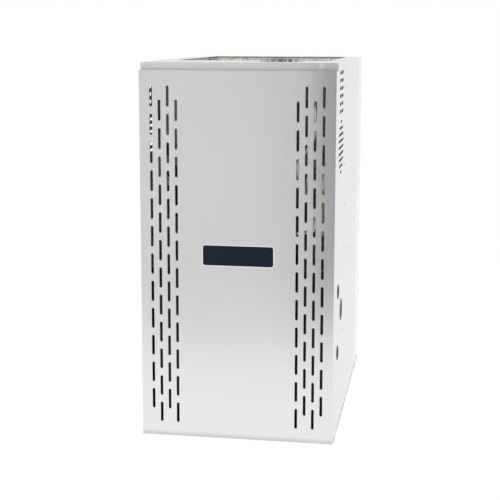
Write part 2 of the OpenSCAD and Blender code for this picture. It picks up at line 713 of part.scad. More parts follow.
// Round flue connection that passes through the top plate
module vent_collar() color("silver") on_case() difference() {
    union() {
        block([ind_duct_x0 - 6, flue_y - flue_d / 2 - 2, ind_duct_top], [ind_duct_x1 + 6, ind_back_y + 4, ind_duct_top + 2]);
        translate([flue_x, flue_y, ind_duct_top]) cylinder(d = flue_d + 2 * flue_wall, h = cab_h + flue_rise - ind_duct_top);
    }
    translate([flue_x, flue_y, ind_duct_top + 2]) cylinder(d = flue_d, h = cab_h);
    block([ind_duct_x0 + ind_wall, max(ind_front_y + ind_wall, flue_y - flue_d / 2 + 14), ind_duct_top - 1],
        [ind_duct_x1 - ind_wall, ind_back_y - ind_wall, ind_duct_top + 3]);
}

// ---------------------------------------------------------------- burners and gas

burner_port_d = 30;
module burner_box() color("silver") on_case() difference() {
    union() {
        difference() {
            block([-box_half_w, box_y0, box_z0], [box_half_w, vest_d - 1.4, box_z1]);
            block([-box_half_w + sheet, box_y0 + sheet, box_z0 + sheet], [box_half_w - sheet, vest_d, box_z1 - sheet]);
        }
        // arms that carry the manifold
        for (s = [-1, 1]) translate([s * (box_half_w - sheet / 2), 0, 0])
            block([-sheet / 2, manifold_y - 16, burner_z - 16], [sheet / 2, box_y0 + 2, burner_z + 16]);
    }
    for (x = hx_x) translate([x, 0, burner_z]) rod_y(burner_port_d + 1, box_y0 - 1, box_y0 + 3);
    for (s = [-1, 1]) translate([0, manifold_y, burner_z]) rod_x(manifold_d + 0.6, s * box_half_w - 2, s * box_half_w + 2);
}

// In-shot burner: bell mouth, venturi throat, flame head; a hollow turned shape
module burner() {
    w = 1;
    profile = [[burner_mouth_d / 2, 0], [9, 24], [9, 40], [burner_port_d / 2 - 1, 60], [burner_port_d / 2 - 1, burner_len]];
    rotate([-90, 0, 0]) rotate_extrude() polygon(concat(
        profile, [for (i = [4 : -1 : 0]) profile[i] - [w, 0]]));
}
module burners() color("silver") on_case() for (x = hx_x)
    translate([x, burner_mouth_y, burner_z]) burner();

module gas_manifold() color("dimgray") on_case() difference() {
    union() {
        translate([0, manifold_y, burner_z]) rod_x(manifold_d, drop_x, box_half_w + 10);
        translate([drop_x, manifold_y, burner_z]) sphere(d = manifold_d + 3);
        translate([drop_x, manifold_y, burner_z]) cylinder(d = manifold_d, h = valve_z0 - burner_z);
    }
    translate([0, manifold_y, burner_z]) rod_x(manifold_d - 6, drop_x, box_half_w + 6);
    translate([drop_x, manifold_y, burner_z]) cylinder(d = manifold_d - 6, h = valve_z0 - burner_z + 1);
    for (x = hx_x) translate([x, manifold_y, burner_z]) rod_y(8, 0, manifold_d / 2 + 1);
}

module gas_orifices() color("goldenrod") on_case() for (x = hx_x) translate([x, manifold_y, burner_z]) difference() {
    union() {
        rod_y(8, manifold_d / 2 - 4, manifold_d / 2 + 2);
        translate([0, manifold_d / 2 + 0.5, 0]) rotate([-90, 0, 0]) cylinder(d = 12, h = 6, $fn = 6);
        rod_y(8, manifold_d / 2 + 6, manifold_d / 2 + 14);
    }
    rod_y(2.4, 0, manifold_d);
}

module gas_valve() color("lightslategray") on_case() difference() {
    union() {
        block([valve_x0, valve_y0, valve_z0], [valve_x1, valve_y0 + valve_d, valve_z0 + valve_h]);
        // inlet boss on the left
        translate([0, manifold_y, gas_in_z]) rod_x(gas_bore_d + 12, valve_x0 - boss_len, valve_x0 + 2);
        // solenoid coil and regulator tower on top
        translate([drop_x - 12, manifold_y, valve_z0 + valve_h]) cylinder(d = 28, h = 30);
        translate([drop_x + 20, manifold_y, valve_z0 + valve_h]) cylinder(d = 18, h = 20);
    }
    translate([0, manifold_y, gas_in_z]) rod_x(gas_bore_d, valve_x0 - boss_len - 1, valve_x0 + 12);
    translate([valve_knob_x, 0, gas_in_z]) rod_y(8 + 2 * move_gap, valve_y0 - 1, valve_y0 + 9);
}

valve_knob_x = drop_x + 6;
valve_knob_y = valve_y0 - move_gap;
module gas_valve_knob() color("black") on_case() translate([valve_knob_x, 0, gas_in_z]) {
    rod_y(valve_knob_d, valve_knob_y - valve_knob_h / 2, valve_knob_y);
    block([-3, valve_knob_y - valve_knob_h, -valve_knob_d / 2 + 1], [3, valve_knob_y - valve_knob_h / 2 + 1, valve_knob_d / 2 - 1]);
    rod_y(8, valve_knob_y - 1, valve_y0 + 8);
}

// Hot surface igniter on the right of the burner box: ceramic block and element
igniter_x = hx_x[3] + 6;
module igniter() color("white") on_case() {
    block([igniter_x, vest_d - 34, box_z1], [igniter_x + 16, vest_d - 22, box_z1 + 26]);
    block([igniter_x - 2, vest_d - 38, box_z1 + 8], [igniter_x + 18, vest_d - 18, box_z1 + 12]);
}

sensor_x = hx_x[0] - 10;
module flame_sensor() color("white") on_case() {
    translate([sensor_x, vest_d - 28, box_z1]) cylinder(d = 9, h = 26);
    translate([sensor_x, vest_d - 28, box_z1 + 26]) cylinder(d = 4, h = 10);
    block([sensor_x - 8, vest_d - 34, box_z1], [sensor_x + 20, vest_d - 22, box_z1 + 1]);
}

// Three disc thermostats: two rollout switches above the burner box, one limit on the bulkhead
disc_d = 24;
disc_h = 9;
rollout_x = hx_x[3] + 10;
rollout_y = box_y0 + 30;
limit_hole_d = 18;
limit_x = inner_x - 34;
limit_z = exit_z - 40;
button_d = 6;
module disc_thermostats() color("lightgray") on_case() {
    for (s = [-1, 1]) translate([s * rollout_x, rollout_y, box_z1]) difference() {
        union() {
            block([-16, -8, 0], [16, 8, 1]);
            cylinder(d = disc_d, h = disc_h);
            for (t = [-1, 1]) translate([t * 7, 0, 0]) block([-0.4, -3, 0], [0.4, 3, disc_h + 9]);
        }
        translate([0, 0, disc_h - 5]) cylinder(d = button_d + 2 * move_gap, h = 20);
    }
    translate([limit_x, 0, limit_z]) {
        rod_y(disc_d, vest_d - disc_h, vest_d);
        block([-16, vest_d - 1, -8], [16, vest_d, 8]);
        for (t = [-1, 1]) translate([t * 5, 0, 0]) block([-0.4, vest_d - disc_h - 9, -3], [0.4, vest_d - disc_h, 3]);
    }
}
module reset_button() cylinder(d = button_d, h = 10);
module reset_button_left() color("red") on_case()
    translate([-rollout_x, rollout_y, box_z1 + disc_h - 2]) reset_button();
module reset_button_right() color("red") on_case()
    translate([rollout_x, rollout_y, box_z1 + disc_h - 2]) reset_button();

// Round diaphragm switch on the bulkhead, left of the inducer
psw_x = -collector_half_w - 14;
psw_z = collector_z1 + psw_d / 2 + 4;
psw_tip_y = vest_d - 60;
module pressure_switch() color("dimgray") on_case() translate([psw_x, 0, psw_z]) {
    rod_y(psw_d, vest_d - 40, vest_d - 26);
    rod_y(psw_d - 14, vest_d - 48, vest_d - 18);
    block([-14, vest_d - 19, -24], [14, vest_d, 24]);
    rod_y(6, psw_tip_y, vest_d - 47);
}

// Soft tube from the inducer housing to the switch
port_x = ind_x - 30;
port_z = ind_z + ind_case_d / 2 - 4;
ind_mid_y = (ind_front_y + ind_back_y) / 2;
hose_dx = port_x - psw_x;
hose_front_y = vest_d - collector_d - ind_case_h - 4;
HOSE_ROUTE = [[psw_x, psw_tip_y - 0.5, psw_z], [psw_x, psw_tip_y - 12, psw_z],
    [psw_x + 0.13 * hose_dx, hose_front_y + 2, psw_z - 6], [psw_x + 0.38 * hose_dx, hose_front_y, psw_z + 4],
    [psw_x + 0.69 * hose_dx, hose_front_y + 10, psw_z + 20], [port_x - 12, ind_mid_y - 2, port_z + 26],
    [port_x, ind_mid_y, port_z + 12], [port_x, ind_mid_y, port_z + 0.3]];
module pressure_hose() color("ivory") on_case() swept(smooth_route(HOSE_ROUTE, 5), 6);

// ---------------------------------------------------------------- blower

// Scroll radius at an angle from the tongue, measured from +Y towards +Z
function scroll_r(a) = wheel_r * (scroll_start + scroll_grow * (a - tongue_angle) / (360 - tongue_angle));
SCROLL_STEP = 10;
function scroll_line(grow) = concat(
    [[cos(tongue_angle) * (scroll_r(tongue_angle) + grow), deck_z - wheel_z]],
    [for (a = [tongue_angle : SCROLL_STEP : 360]) (scroll_r(a) + grow) * [cos(a), sin(a)]],
    [[scroll_r(360) + grow, deck_z - wheel_z]]);
module scroll_2d(grow) translate([wheel_y, wheel_z]) polygon(scroll_line(grow));

module blower_wrap() color("silver") on_case() plate_x(-scroll_half + sheet, scroll_w - 2 * sheet) difference() {
    scroll_2d(0);
    scroll_2d(-sheet);
    translate([wheel_y, wheel_z]) square([throat_y1 - wheel_y - sheet, deck_z]);
    translate([throat_y0 + sheet, wheel_z + wheel_r]) square([throat_y1 - throat_y0 - 2 * sheet, deck_z]);
}

module blower_cheeks() color("silver") on_case() for (s = [-1, 1])
    plate_x(s > 0 ? scroll_half - sheet : -scroll_half, sheet) difference() {
        scroll_2d(0);
        translate([wheel_y, wheel_z]) circle(d = inlet_d);
    }

module blower_wheel() color("silver") on_case() translate([0, wheel_y, wheel_z]) difference() {
    union() {
        rod_x(2 * eye_r + 8, -1, 1);
        for (s = [-1, 1]) difference() {
            rod_x(wheel_d, s * wheel_w / 2 - (s > 0 ? 3 : 0), s * wheel_w / 2 + (s > 0 ? 0 : 3));
            rod_x(2 * eye_r + 2, s * wheel_w / 2 - 5, s * wheel_w / 2 + 5);
        }
        for (a = [0 : blade_count - 1]) rotate([a * 360 / blade_count, 0, 0])
            translate([-wheel_w / 2 + 1, 0, eye_r]) rotate([-28, 0, 0]) cube([wheel_w - 2, blade_t, blade_chord]);
        rod_x(shaft_d + 20, -30, 8);
    }
    rod_x(shaft_d, -31, 9);
}

bearing_depth = 36;
module blower_shaft() color("silver") on_case() translate([0, wheel_y, wheel_z])
    rod_x(shaft_d, -36, motor_x0 + bearing_depth - 1);

module blower_motor() color("darkslategray") on_case() translate([0, wheel_y, wheel_z]) difference() {
    union() {
        rod_x(motor_d, motor_x0 + 14, motor_x0 + motor_l - 12);
        rod_x(motor_d - 16, motor_x0 + 4, motor_x0 + motor_l - 4);
        rod_x(44, motor_x0, motor_x0 + motor_l);
    }
    rod_x(shaft_d + 2 * run_fit, motor_x0 - 1, motor_x0 + bearing_depth);
    for (a = [0 : 30 : 330]) rotate([a, 0, 0]) translate([0, 0, motor_d / 2 - 24])
        block([motor_x0 + motor_l - 14, -5, -6], [motor_x0 + motor_l + 1, 5, 6]);
}

// Belly band round the motor, with three arms on the right cheek
module motor_mount() color("silver") on_case() translate([0, wheel_y, wheel_z]) difference() {
    union() {
        rod_x(motor_d + 4, scroll_half - 4, scroll_half + mount_w);
        for (a = [90, 210, 330]) rotate([a, 0, 0])
            block([scroll_half, -mount_w / 2, motor_d / 2], [scroll_half + 3, mount_w / 2, inlet_d / 2 + 18]);
        block([scroll_half + 2, motor_d / 2, -6], [scroll_half + mount_w, motor_d / 2 + 14, 6]);
    }
    rod_x(motor_d, scroll_half - 6, scroll_half + mount_w + 2);
}

// Angle rails under the deck that the housing slides in on
module blower_rails() color("silver") on_case() for (s = [-1, 1]) mirror([s > 0 ? 0 : 1, 0, 0]) {
    block([scroll_half, throat_y0 - 120, deck_z - 1.5], [scroll_half + 24, throat_y1 + 10, deck_z]);
    block([scroll_half, throat_y0 - 120, deck_z - rail_h], [scroll_half + 1.5, throat_y1 + 10, deck_z]);
}

cap_x = -scroll_half - cap_d / 2 - 4;
cap_y = wheel_y - 118;
cap_z = deck_z - 100;
cap_strap_z = cap_h / 2 - 6;
module run_capacitor() color("silver") on_case() translate([cap_x, cap_y, cap_z]) {
    cylinder(d = cap_d, h = cap_h);
    for (s = [-1, 1]) translate([0, s * 8, cap_h]) block([-3, -0.5, 0], [3, 0.5, 9]);
    difference() {
        translate([0, 0, cap_strap_z]) cylinder(d = cap_d + 4, h = 14);
        translate([0, 0, cap_strap_z - 1]) cylinder(d = cap_d - 1, h = 16);
    }
    block([cap_d / 2 + 1, -10, cap_strap_z], [cap_d / 2 + 4, 10, cap_strap_z + 14]);
}

// ---------------------------------------------------------------- controls

board_x0 = -160;
board_x1 = board_x0 + board_w;
board_z1 = deck_z - board_drop;
board_z0 = board_z1 - board_h;
board_t = 1.6;
board_stand = 14;
relay_w = 22;
relay_h = 24;
relay_t = 18;
// Relays, from the board's lower left corner
RELAYS = [[20, 30], [20, 62], [50, 30], [80, 30]];
// A component on the board's front: its corner on the board, its size, its height
module on_board(p, size, t)
    block([board_x0 + p[0], board_y - t, board_z0 + p[1]],
        [board_x0 + p[0] + size[0], board_y + board_t / 2, board_z0 + p[1] + size[1]]);
module control_board() color("darkgreen") on_case() {
    // bracket hung from the deck
    block([board_x0 - 8, board_y + board_stand, board_z0 - 6], [board_x1 + 8, board_y + board_stand + sheet, deck_z]);
    block([board_x0 - 8, board_y + board_stand, deck_z - sheet], [board_x1 + 8, board_y + board_stand + 20, deck_z]);
    for (x = [board_x0 + 6, board_x1 - 6], z = [board_z0 + 6, board_z1 - 6])
        translate([x, 0, z]) rod_y(6, board_y + board_t / 2, board_y + board_stand + sheet / 2);
    block([board_x0, board_y, board_z0], [board_x1, board_y + board_t, board_z1]);
    for (p = RELAYS) on_board(p, [relay_w, relay_h], relay_t);
    // connector, processor, capacitor and the row of fuses and terminals
    on_board([110, 10], [60, 10], 12);
    on_board([120, board_h / 2 + 15], [40, 32], 9);
    translate([board_x0 + 60, 0, board_z0 + board_h - 30]) rod_y(16, board_y - 24, board_y + board_t / 2);
    for (i = [0 : 4]) on_board([40 + i * 12, board_h - 18], [8, 6], 8);
}

trans_x = board_x1 + 24;
trans_z0 = deck_z - trans_h - 42;
trans_y0 = board_y - trans_d / 2 + 2;
trans_y1 = trans_y0 + trans_d;
module transformer() color("dimgray") on_case() {
    block([trans_x, trans_y0, trans_z0], [trans_x + trans_w, trans_y1, trans_z0 + trans_h]);
    block([trans_x + 12, trans_y0 - 8, trans_z0 + 8], [trans_x + trans_w - 12, trans_y0 + 1, trans_z0 + trans_h - 8]);
    block([trans_x - 6, trans_y1, trans_z0 - 8], [trans_x + trans_w + 6, trans_y1 + 1.5, deck_z]);
}

// Junction box on the inside of the right side, round the upper cable hole
jbox_y0 = cable_y - jbox_d / 2;
jbox_y1 = jbox_y0 + jbox_d;
jbox_z0 = cable_hi_z - cable_hole_d;
jbox_z1 = jbox_z0 + jbox_h;
module junction_box() color("silver") on_case() difference() {
    union() {
        block([inner_x - jbox_w, jbox_y0, jbox_z0], [inner_x, jbox_y1, jbox_z1]);
        block([inner_x - jbox_w - 1.5, jbox_y0 - 3, jbox_z0 - 3], [inner_x - jbox_w, jbox_y1 + 3, jbox_z1 + 3]);
    }
    block([inner_x - jbox_w + 1.2, jbox_y0 + 1.2, jbox_z0 + 1.2], [inner_x + 1, jbox_y1 - 1.2, jbox_z1 - 1.2]);
}

// Door switch: its plunger is pressed by the blower door
sw_x = -pan_half_w + 34;
sw_z = deck_z - 74;
sw_y0 = pan_depth + 16;
plunger_travel = 4;
module door_switch() color("black") on_case() difference() {
    union() {
        block([sw_x - 12, sw_y0, sw_z - 9], [sw_x + 12, sw_y0 + 26, sw_z + 9]);
        block([sw_x - 12, sw_y0 + 26, sw_z - 9], [sw_x + 12, sw_y0 + 27.5, deck_z]);
    }
    translate([sw_x, 0, sw_z]) rod_y(8 + 2 * move_gap, sw_y0 - 1, sw_y0 + 18);
}
module switch_plunger() color("white") on_case() translate([sw_x, 0, sw_z])
    rod_y(8, pan_depth + 0.5, sw_y0 + 18 - plunger_travel - move_gap);

// ---------------------------------------------------------------- wires

harness_x = 150;
harness_y = 150;
harness_hole_d = 26;
wire_d = 3;
wire_z0 = deck_z - 60;
low_z = burner_z - 50;
mid_z = box_z1;
high_z = exit_z - 84;
// Routes through the deck: to the inducer motor, the limit, the igniter and the gas valve
ROUTES = [
    [[harness_x - 6, harness_y, wire_z0], [harness_x - 6, harness_y, deck_z], [160, 130, low_z], [168, 96, mid_z],
        [160, 70, high_z], [130, 62, high_z + 50], [ind_x + ind_motor_d / 2 + 10, ind_motor_y0 + 24, ind_z - 2],
        [ind_x + ind_motor_d / 2 + 1, ind_motor_y0 + 24, ind_z]],
    [[harness_x, harness_y - 4, wire_z0], [harness_x, harness_y - 4, deck_z], [172, 136, low_z + 10], [184, 120, mid_z + 10],
        [limit_x + 5, 140, high_z], [limit_x + 5, vest_d - disc_h - 16, limit_z - 2], [limit_x + 5, vest_d - disc_h - 10, limit_z]],
    [[harness_x + 6, harness_y, wire_z0], [harness_x + 6, harness_y, deck_z], [176, 160, low_z], [178, 164, mid_z - 20],
        [igniter_x + 30, 164, mid_z + 36], [igniter_x + 8, 162, mid_z + 44], [igniter_x + 8, 162, box_z1 + 27]],
    [[harness_x - 2, harness_y + 6, wire_z0], [harness_x - 2, harness_y + 6, deck_z], [132, 140, low_z - 20],
        [90, 104, low_z - 6], [0, 100, low_z - 2], [-100, 96, low_z], [-176, 92, burner_z - 20], [-184, 90, mid_z],
        [-180, 92, mid_z + 60], [-160, 92, mid_z + 80], [drop_x + 16, 84, mid_z + 80], [drop_x + 16, valve_y0 + valve_d + 1, mid_z + 80]],
];
module wire_harness() color("gold") on_case() for (r = ROUTES) swept(smooth_route(r, 4), wire_d);

left_side_panel();
right_side_panel();
back_panel();
base_pan();
top_plate();
vestibule_panel();
blower_deck();
casing_screws();
side_bushings();
hole_plug();
front_door();
badge_plate();
door_clips();
door_studs();
blower_door();
blower_door_gasket();
sight_glass();
door_knob_left();
door_knob_right();
side_insulation();
back_insulation();
exchanger_tube_1();
exchanger_tube_2();
exchanger_tube_3();
exchanger_tube_4();
tube_baffle();
collector_box();
inducer_gasket();
inducer_housing();
inducer_wheel();
inducer_shaft();
inducer_motor();
vent_collar();
burner_box();
burners();
gas_manifold();
gas_orifices();
gas_valve();
gas_valve_knob();
igniter();
flame_sensor();
disc_thermostats();
reset_button_left();
reset_button_right();
pressure_switch();
pressure_hose();
blower_wrap();
blower_cheeks();
blower_wheel();
blower_motor();
blower_shaft();
motor_mount();
blower_rails();
run_capacitor();
control_board();
transformer();
junction_box();
door_switch();
switch_plunger();
wire_harness();
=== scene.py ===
"""Looks of an upflow forced air gas furnace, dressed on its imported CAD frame."""
import math

import bmesh
import bpy
from mathutils import Matrix, Vector, noise


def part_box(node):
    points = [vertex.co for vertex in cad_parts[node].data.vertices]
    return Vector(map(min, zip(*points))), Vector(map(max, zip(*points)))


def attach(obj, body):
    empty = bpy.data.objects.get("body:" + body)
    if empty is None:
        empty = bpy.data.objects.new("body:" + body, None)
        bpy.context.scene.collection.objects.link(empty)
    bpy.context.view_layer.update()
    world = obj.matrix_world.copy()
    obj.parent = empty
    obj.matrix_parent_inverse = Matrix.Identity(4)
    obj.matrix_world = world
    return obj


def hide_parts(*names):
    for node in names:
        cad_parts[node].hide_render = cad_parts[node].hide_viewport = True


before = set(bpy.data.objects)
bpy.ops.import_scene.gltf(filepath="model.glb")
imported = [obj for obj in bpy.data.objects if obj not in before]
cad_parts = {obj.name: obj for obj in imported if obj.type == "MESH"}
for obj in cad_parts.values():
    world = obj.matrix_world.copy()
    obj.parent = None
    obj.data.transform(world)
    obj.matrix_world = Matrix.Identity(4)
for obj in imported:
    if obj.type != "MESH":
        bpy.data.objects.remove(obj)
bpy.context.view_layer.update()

# ---- Camera, floor and studio light ------------------------------------------------
# The furnace stands on a pale studio floor. The camera stands 2.5 m off, a little above the
# casing's top and to its right; its place and lens were solved from the photo's corners and
# slots, with the lens shifted down a little so that upright edges stay nearly upright.
CASE_FRONT = -354.4  # where the casing's front plane lies, in millimetres
SENSOR, PHOTO_PIXELS, LENS_PIXELS, LENS_SHIFT = 36, 500, 1153.4, -0.072
CAMERA_TURN = (9.466, 8.901, 0.089)  # yaw, pitch and roll


def spot(x, y, z):
    """A place given in the casing's millimetres, y counted back from its front plane."""
    return Vector((x, y + CASE_FRONT, z)) / 1000


def set_down(name, data):
    """Puts a camera, a light or a mesh into the scene."""
    made = bpy.data.objects.new(name, data)
    bpy.context.scene.collection.objects.link(made)
    return made


def as_mesh(name, shape):
    """Turns a finished shape into a mesh."""
    mesh = bpy.data.meshes.new(name)
    shape.to_mesh(mesh)
    shape.free()
    return mesh


yaw, pitch, roll = (math.radians(a) for a in CAMERA_TURN)
forward = Vector((-math.sin(yaw) * math.cos(pitch), math.cos(yaw) * math.cos(pitch), -math.sin(pitch)))
level = Vector((math.cos(yaw), math.sin(yaw), 0))
upright = level.cross(forward)
camera_right = level * math.cos(roll) + upright * math.sin(roll)
camera_up = upright * math.cos(roll) - level * math.sin(roll)
lens = bpy.data.cameras.new("camera")
lens.sensor_width = SENSOR
lens.lens = SENSOR * LENS_PIXELS / PHOTO_PIXELS
lens.shift_y = LENS_SHIFT
lens.clip_end = 60
camera = set_down("camera", lens)
facing = Matrix((camera_right, camera_up, -forward)).transposed().to_4x4()
camera.matrix_world = Matrix.Translation(spot(449.2, -2531.1, 927.2)) @ facing
bpy.context.scene.camera = camera
bpy.context.scene.view_settings.view_transform = "Standard"


def node(tree, kind, feeds=None, gives=0, **settings):
    """Adds a shader node, fed with numbers, colours or other nodes' outputs, and gives an output."""
    made = tree.nodes.new("ShaderNode" + kind)
    for key, value in settings.items():
        setattr(made, key, value)
    for key, value in (feeds or {}).items():
        if isinstance(value, bpy.types.NodeSocket):
            tree.links.new(value, made.inputs[key])
        else:
            made.inputs[key].default_value = value
    return made.outputs[gives]


def reckon(tree, a, b, operation="MULTIPLY", clamp=False):
    """One number from two."""
    return node(tree, "Math", {0: a, 1: b}, operation=operation, use_clamp=clamp)


def stretch(tree, value, low, high, to_low=0.0, to_high=1.0):
    """Spreads the values between low and high over another range."""
    return node(tree, "MapRange", {"Value": value, "From Min": low, "From Max": high, "To Min": to_low,
                                   "To Max": to_high})


def flat_sheet(name, centre, size, tilt=(0, 0, 0)):
    """A studio sheet with its middle at centre."""
    grid = bmesh.new()
    bmesh.ops.create_grid(grid, x_segments=4, y_segments=4, size=0.5)
    card = set_down(name, as_mesh(name, grid))
    card.location = centre
    card.scale = (*size, 1)
    card.rotation_euler = [math.radians(a) for a in tilt]
    return card


def new_material(name):
    """An empty material and its nodes."""
    material = bpy.data.materials.new(name)
    material.use_nodes = True
    return material, material.node_tree


def pale_where_seen(tree, shown, lit, share):
    """Mixes a plain white in for what the camera, a reflection or a clear piece sees."""
    rays = node(tree, "LightPath").node.outputs
    seen = reckon(tree, rays["Is Camera Ray"], rays["Is Glossy Ray"], "MAXIMUM")
    seen = reckon(tree, seen, rays["Is Transmission Ray"], "MAXIMUM")
    return node(tree, "MixShader", {0: reckon(tree, seen, share), 1: lit, 2: shown})


floor = flat_sheet("studio_floor", (0, 0, -0.0006), (30, 30))
floor_paint, tree = new_material("studio_floor_paint")
matt = tree.nodes["Principled BSDF"]
matt.inputs["Roughness"].default_value = 0.9
matt.inputs["Specular IOR Level"].default_value = 0.1
mottled = stretch(tree, node(tree, "TexNoise", {"Scale": 3}), 0, 1, 0.80, 0.84)
tree.links.new(mottled, matt.inputs["Base Color"])
white = node(tree, "Emission", {"Strength": 1.07})
tree.links.new(pale_where_seen(tree, white, matt.outputs[0], 0.92), tree.nodes["Material Output"].inputs[0])
floor.data.materials.append(floor_paint)

world = bpy.data.worlds.new("studio")
bpy.context.scene.world = world
world.use_nodes = True
tree = world.node_tree
soft = tree.nodes["Background"]
soft.inputs["Color"].default_value = (0.99, 0.995, 1.0, 1)
soft.inputs["Strength"].default_value = 0.50
seen = node(tree, "Background", {"Color": (1, 1, 1, 1)})
tree.links.new(pale_where_seen(tree, seen, soft.outputs[0], 1.0), tree.nodes["World Output"].inputs[0])


def softbox(name, place, aim, width, height, power):
    """A large studio light that faces aim."""
    lamp = bpy.data.lights.new(name, "AREA")
    lamp.shape = "RECTANGLE"
    lamp.size = width
    lamp.size_y = height
    lamp.energy = power
    holder = set_down(name, lamp)
    holder.location = place
    holder.rotation_euler = (Vector(aim) - Vector(place)).to_track_quat("-Z", "Y").to_euler()
    holder.visible_camera = False
    holder.visible_glossy = False


softbox("key_right", (3.4, -0.6, 2.0), (0, 0, 0.30), 1.8, 1.8, 51)
softbox("low_front_fill", (-0.7, -3.0, 0.25), (0, -0.37, 0.2), 2.4, 0.7, 32)
softbox("high_front", (0.6, -3.0, 2.8), (0, -0.3, 0.6), 2.0, 1.4, 30)
softbox("rear_left", (-2.8, 2.2, 2.4), (0, 0, 0.4), 1.8, 1.8, 22)

# A grey studio wall beside the camera and a dark flag at its right, which only reflections see
for name, place, size, tone in (("rear_wall", (-0.90, -1.21, 1.5), (2.0, 3.0), 0.53),
                                ("right_flag", (0.80, -1.21, 1.52), (1.4, 2.9), 0.015)):
    card = flat_sheet(name, place, size, (90, 0, 0))
    for ray in ("camera", "diffuse", "shadow", "transmission"):
        setattr(card, "visible_" + ray, False)
    cloth, tree = new_material(name + "_cloth")
    tree.nodes.remove(tree.nodes["Principled BSDF"])
    glow = node(tree, "Emission", {"Color": (tone, tone, tone * 1.01, 1)})
    tree.links.new(glow, tree.nodes["Material Output"].inputs["Surface"])
    card.data.materials.append(cloth)

# ---- Wiring harness ----------------------------------------------------------------
# Stranded wires in coloured jackets, tied into bundles. They come up through the bushing in
# the blower deck and end in push-on terminals at the motor, the switches and the gas valve.
# Every piece from here on is shaped in the casing's millimetres, which new_piece turns to metres.


def on_piece(tree):
    """Where a point lies on the furnace, in metres."""
    return node(tree, "TexCoord", gives="Object")


def cloud(tree, scale, detail=2.0, rough=0.5, place=None, gives=0):
    """Soft uneven patches over a piece."""
    return node(tree, "TexNoise", {"Vector": place or on_piece(tree), "Scale": scale, "Detail": detail,
                                   "Roughness": rough}, gives)


def blend(tree, factor, under, over, way="MIX"):
    """One colour over another."""
    return node(tree, "Mix", {"Factor": factor, "A": under, "B": over}, "Result", data_type="RGBA",
                blend_type=way)


def effect(name, takes, gives):
    """Starts a shader effect that several finishes share, with its numbers in and out."""
    group = bpy.data.node_groups.new(name, "ShaderNodeTree")
    for label, usual in takes.items():
        socket = group.interface.new_socket(name=label, in_out="INPUT", socket_type="NodeSocketFloat")
        socket.default_value = usual
    for label in gives:
        group.interface.new_socket(name=label, in_out="OUTPUT", socket_type="NodeSocketFloat")
    return group, group.nodes.new("NodeGroupInput").outputs, group.nodes.new("NodeGroupOutput").inputs


def use(tree, group, **numbers):
    """Places a shared effect in a finish, with that finish's own numbers."""
    placed = tree.nodes.new("ShaderNodeGroup")
    placed.node_tree = group
    for label, value in numbers.items():
        placed.inputs[label].default_value = value
    return placed.outputs


# Fine grain: the orange peel of paint or the tooth of moulded plastic, and a slow mottling
fine_grain, given, out = effect("fine_grain", {"Scale": 900, "Mottle Scale": 9}, ("Height", "Mottle"))
fine_grain.links.new(cloud(fine_grain, given["Scale"], 3.0, 0.55), out["Height"])
slow = cloud(fine_grain, given["Mottle Scale"], 4.0, 0.6)
fine_grain.links.new(stretch(fine_grain, slow, 0.3, 0.7), out["Mottle"])

# Edge wear: where a fold or corner has rubbed, broken up along its length
edge_wear, given, out = effect("edge_wear", {"Width": 0.001, "Amount": 0.5}, ("Mask",))
softened = node(edge_wear, "Bevel", {"Radius": given["Width"]}, samples=4)
straight = node(edge_wear, "NewGeometry", gives="Normal")
turning = node(edge_wear, "VectorMath", {0: softened, 1: straight}, "Value", operation="DOT_PRODUCT")
patches = stretch(edge_wear, cloud(edge_wear, 160.0, 5.0), 0.42, 0.62)
rubbed = reckon(edge_wear, stretch(edge_wear, turning, 0.985, 0.86), patches)
edge_wear.links.new(reckon(edge_wear, rubbed, given["Amount"], clamp=True), out["Mask"])

# Settled dust: lies on what faces up, thicker in patches
settled_dust, given, out = effect("settled_dust", {"Amount": 0.3}, ("Mask",))
upward = node(settled_dust, "SeparateXYZ", {0: node(settled_dust, "NewGeometry", gives="Normal")}, "Z")
patches = stretch(settled_dust, cloud(settled_dust, 28.0, 6.0), 0.35, 0.7)
heap = reckon(settled_dust, stretch(settled_dust, upward, 0.25, 0.95), patches)
settled_dust.links.new(reckon(settled_dust, heap, given["Amount"], clamp=True), out["Mask"])
DUST_COLOUR = (0.42, 0.40, 0.37, 1)


def colour_of(shade, share=1.0):
    """A colour, or a grey given as one number, brightened by share."""
    shade = (shade,) * 3 if isinstance(shade, float) else shade
    return (*(min(1, c * share) for c in shade), 1)


def finish(name, colour, rough, metal=0.0, vary=0.05, grain=900.0, relief=0.02, mottle=9.0, worn=None,
           worn_width=0.8, worn_amount=0.6, dusty=0.0, coat=0.0, rough_vary=0.07):
    """A finish with grain, mottling, rubbed edges and dust; relief and worn_width in millimetres."""
    material, tree = new_material(name)
    skin = tree.nodes["Principled BSDF"].inputs
    skin["Metallic"].default_value = metal
    skin["Coat Weight"].default_value = coat
    surface = use(tree, fine_grain, **{"Scale": grain, "Mottle Scale": mottle})
    tone = blend(tree, surface["Mottle"], colour_of(colour, 1 - vary), colour_of(colour, 1 + vary))
    if worn:
        rubbed = use(tree, edge_wear, Width=worn_width / 1000, Amount=worn_amount)["Mask"]
        tone = blend(tree, rubbed, tone, colour_of(worn))
    if dusty:
        tone = blend(tree, use(tree, settled_dust, Amount=dusty)["Mask"], tone, DUST_COLOUR)
    tree.links.new(tone, skin["Base Color"])
    gloss = stretch(tree, surface["Mottle"], 0, 1, max(0.05, rough - rough_vary), min(1, rough + rough_vary))
    tree.links.new(gloss, skin["Roughness"])
    bump = node(tree, "Bump", {"Height": surface["Height"], "Distance": relief / 1000, "Strength": 1.0})
    tree.links.new(bump, skin["Normal"])
    return material


def set_skin(paint, label, value):
    """Sets one more number of a finish."""
    paint.node_tree.nodes["Principled BSDF"].inputs[label].default_value = value


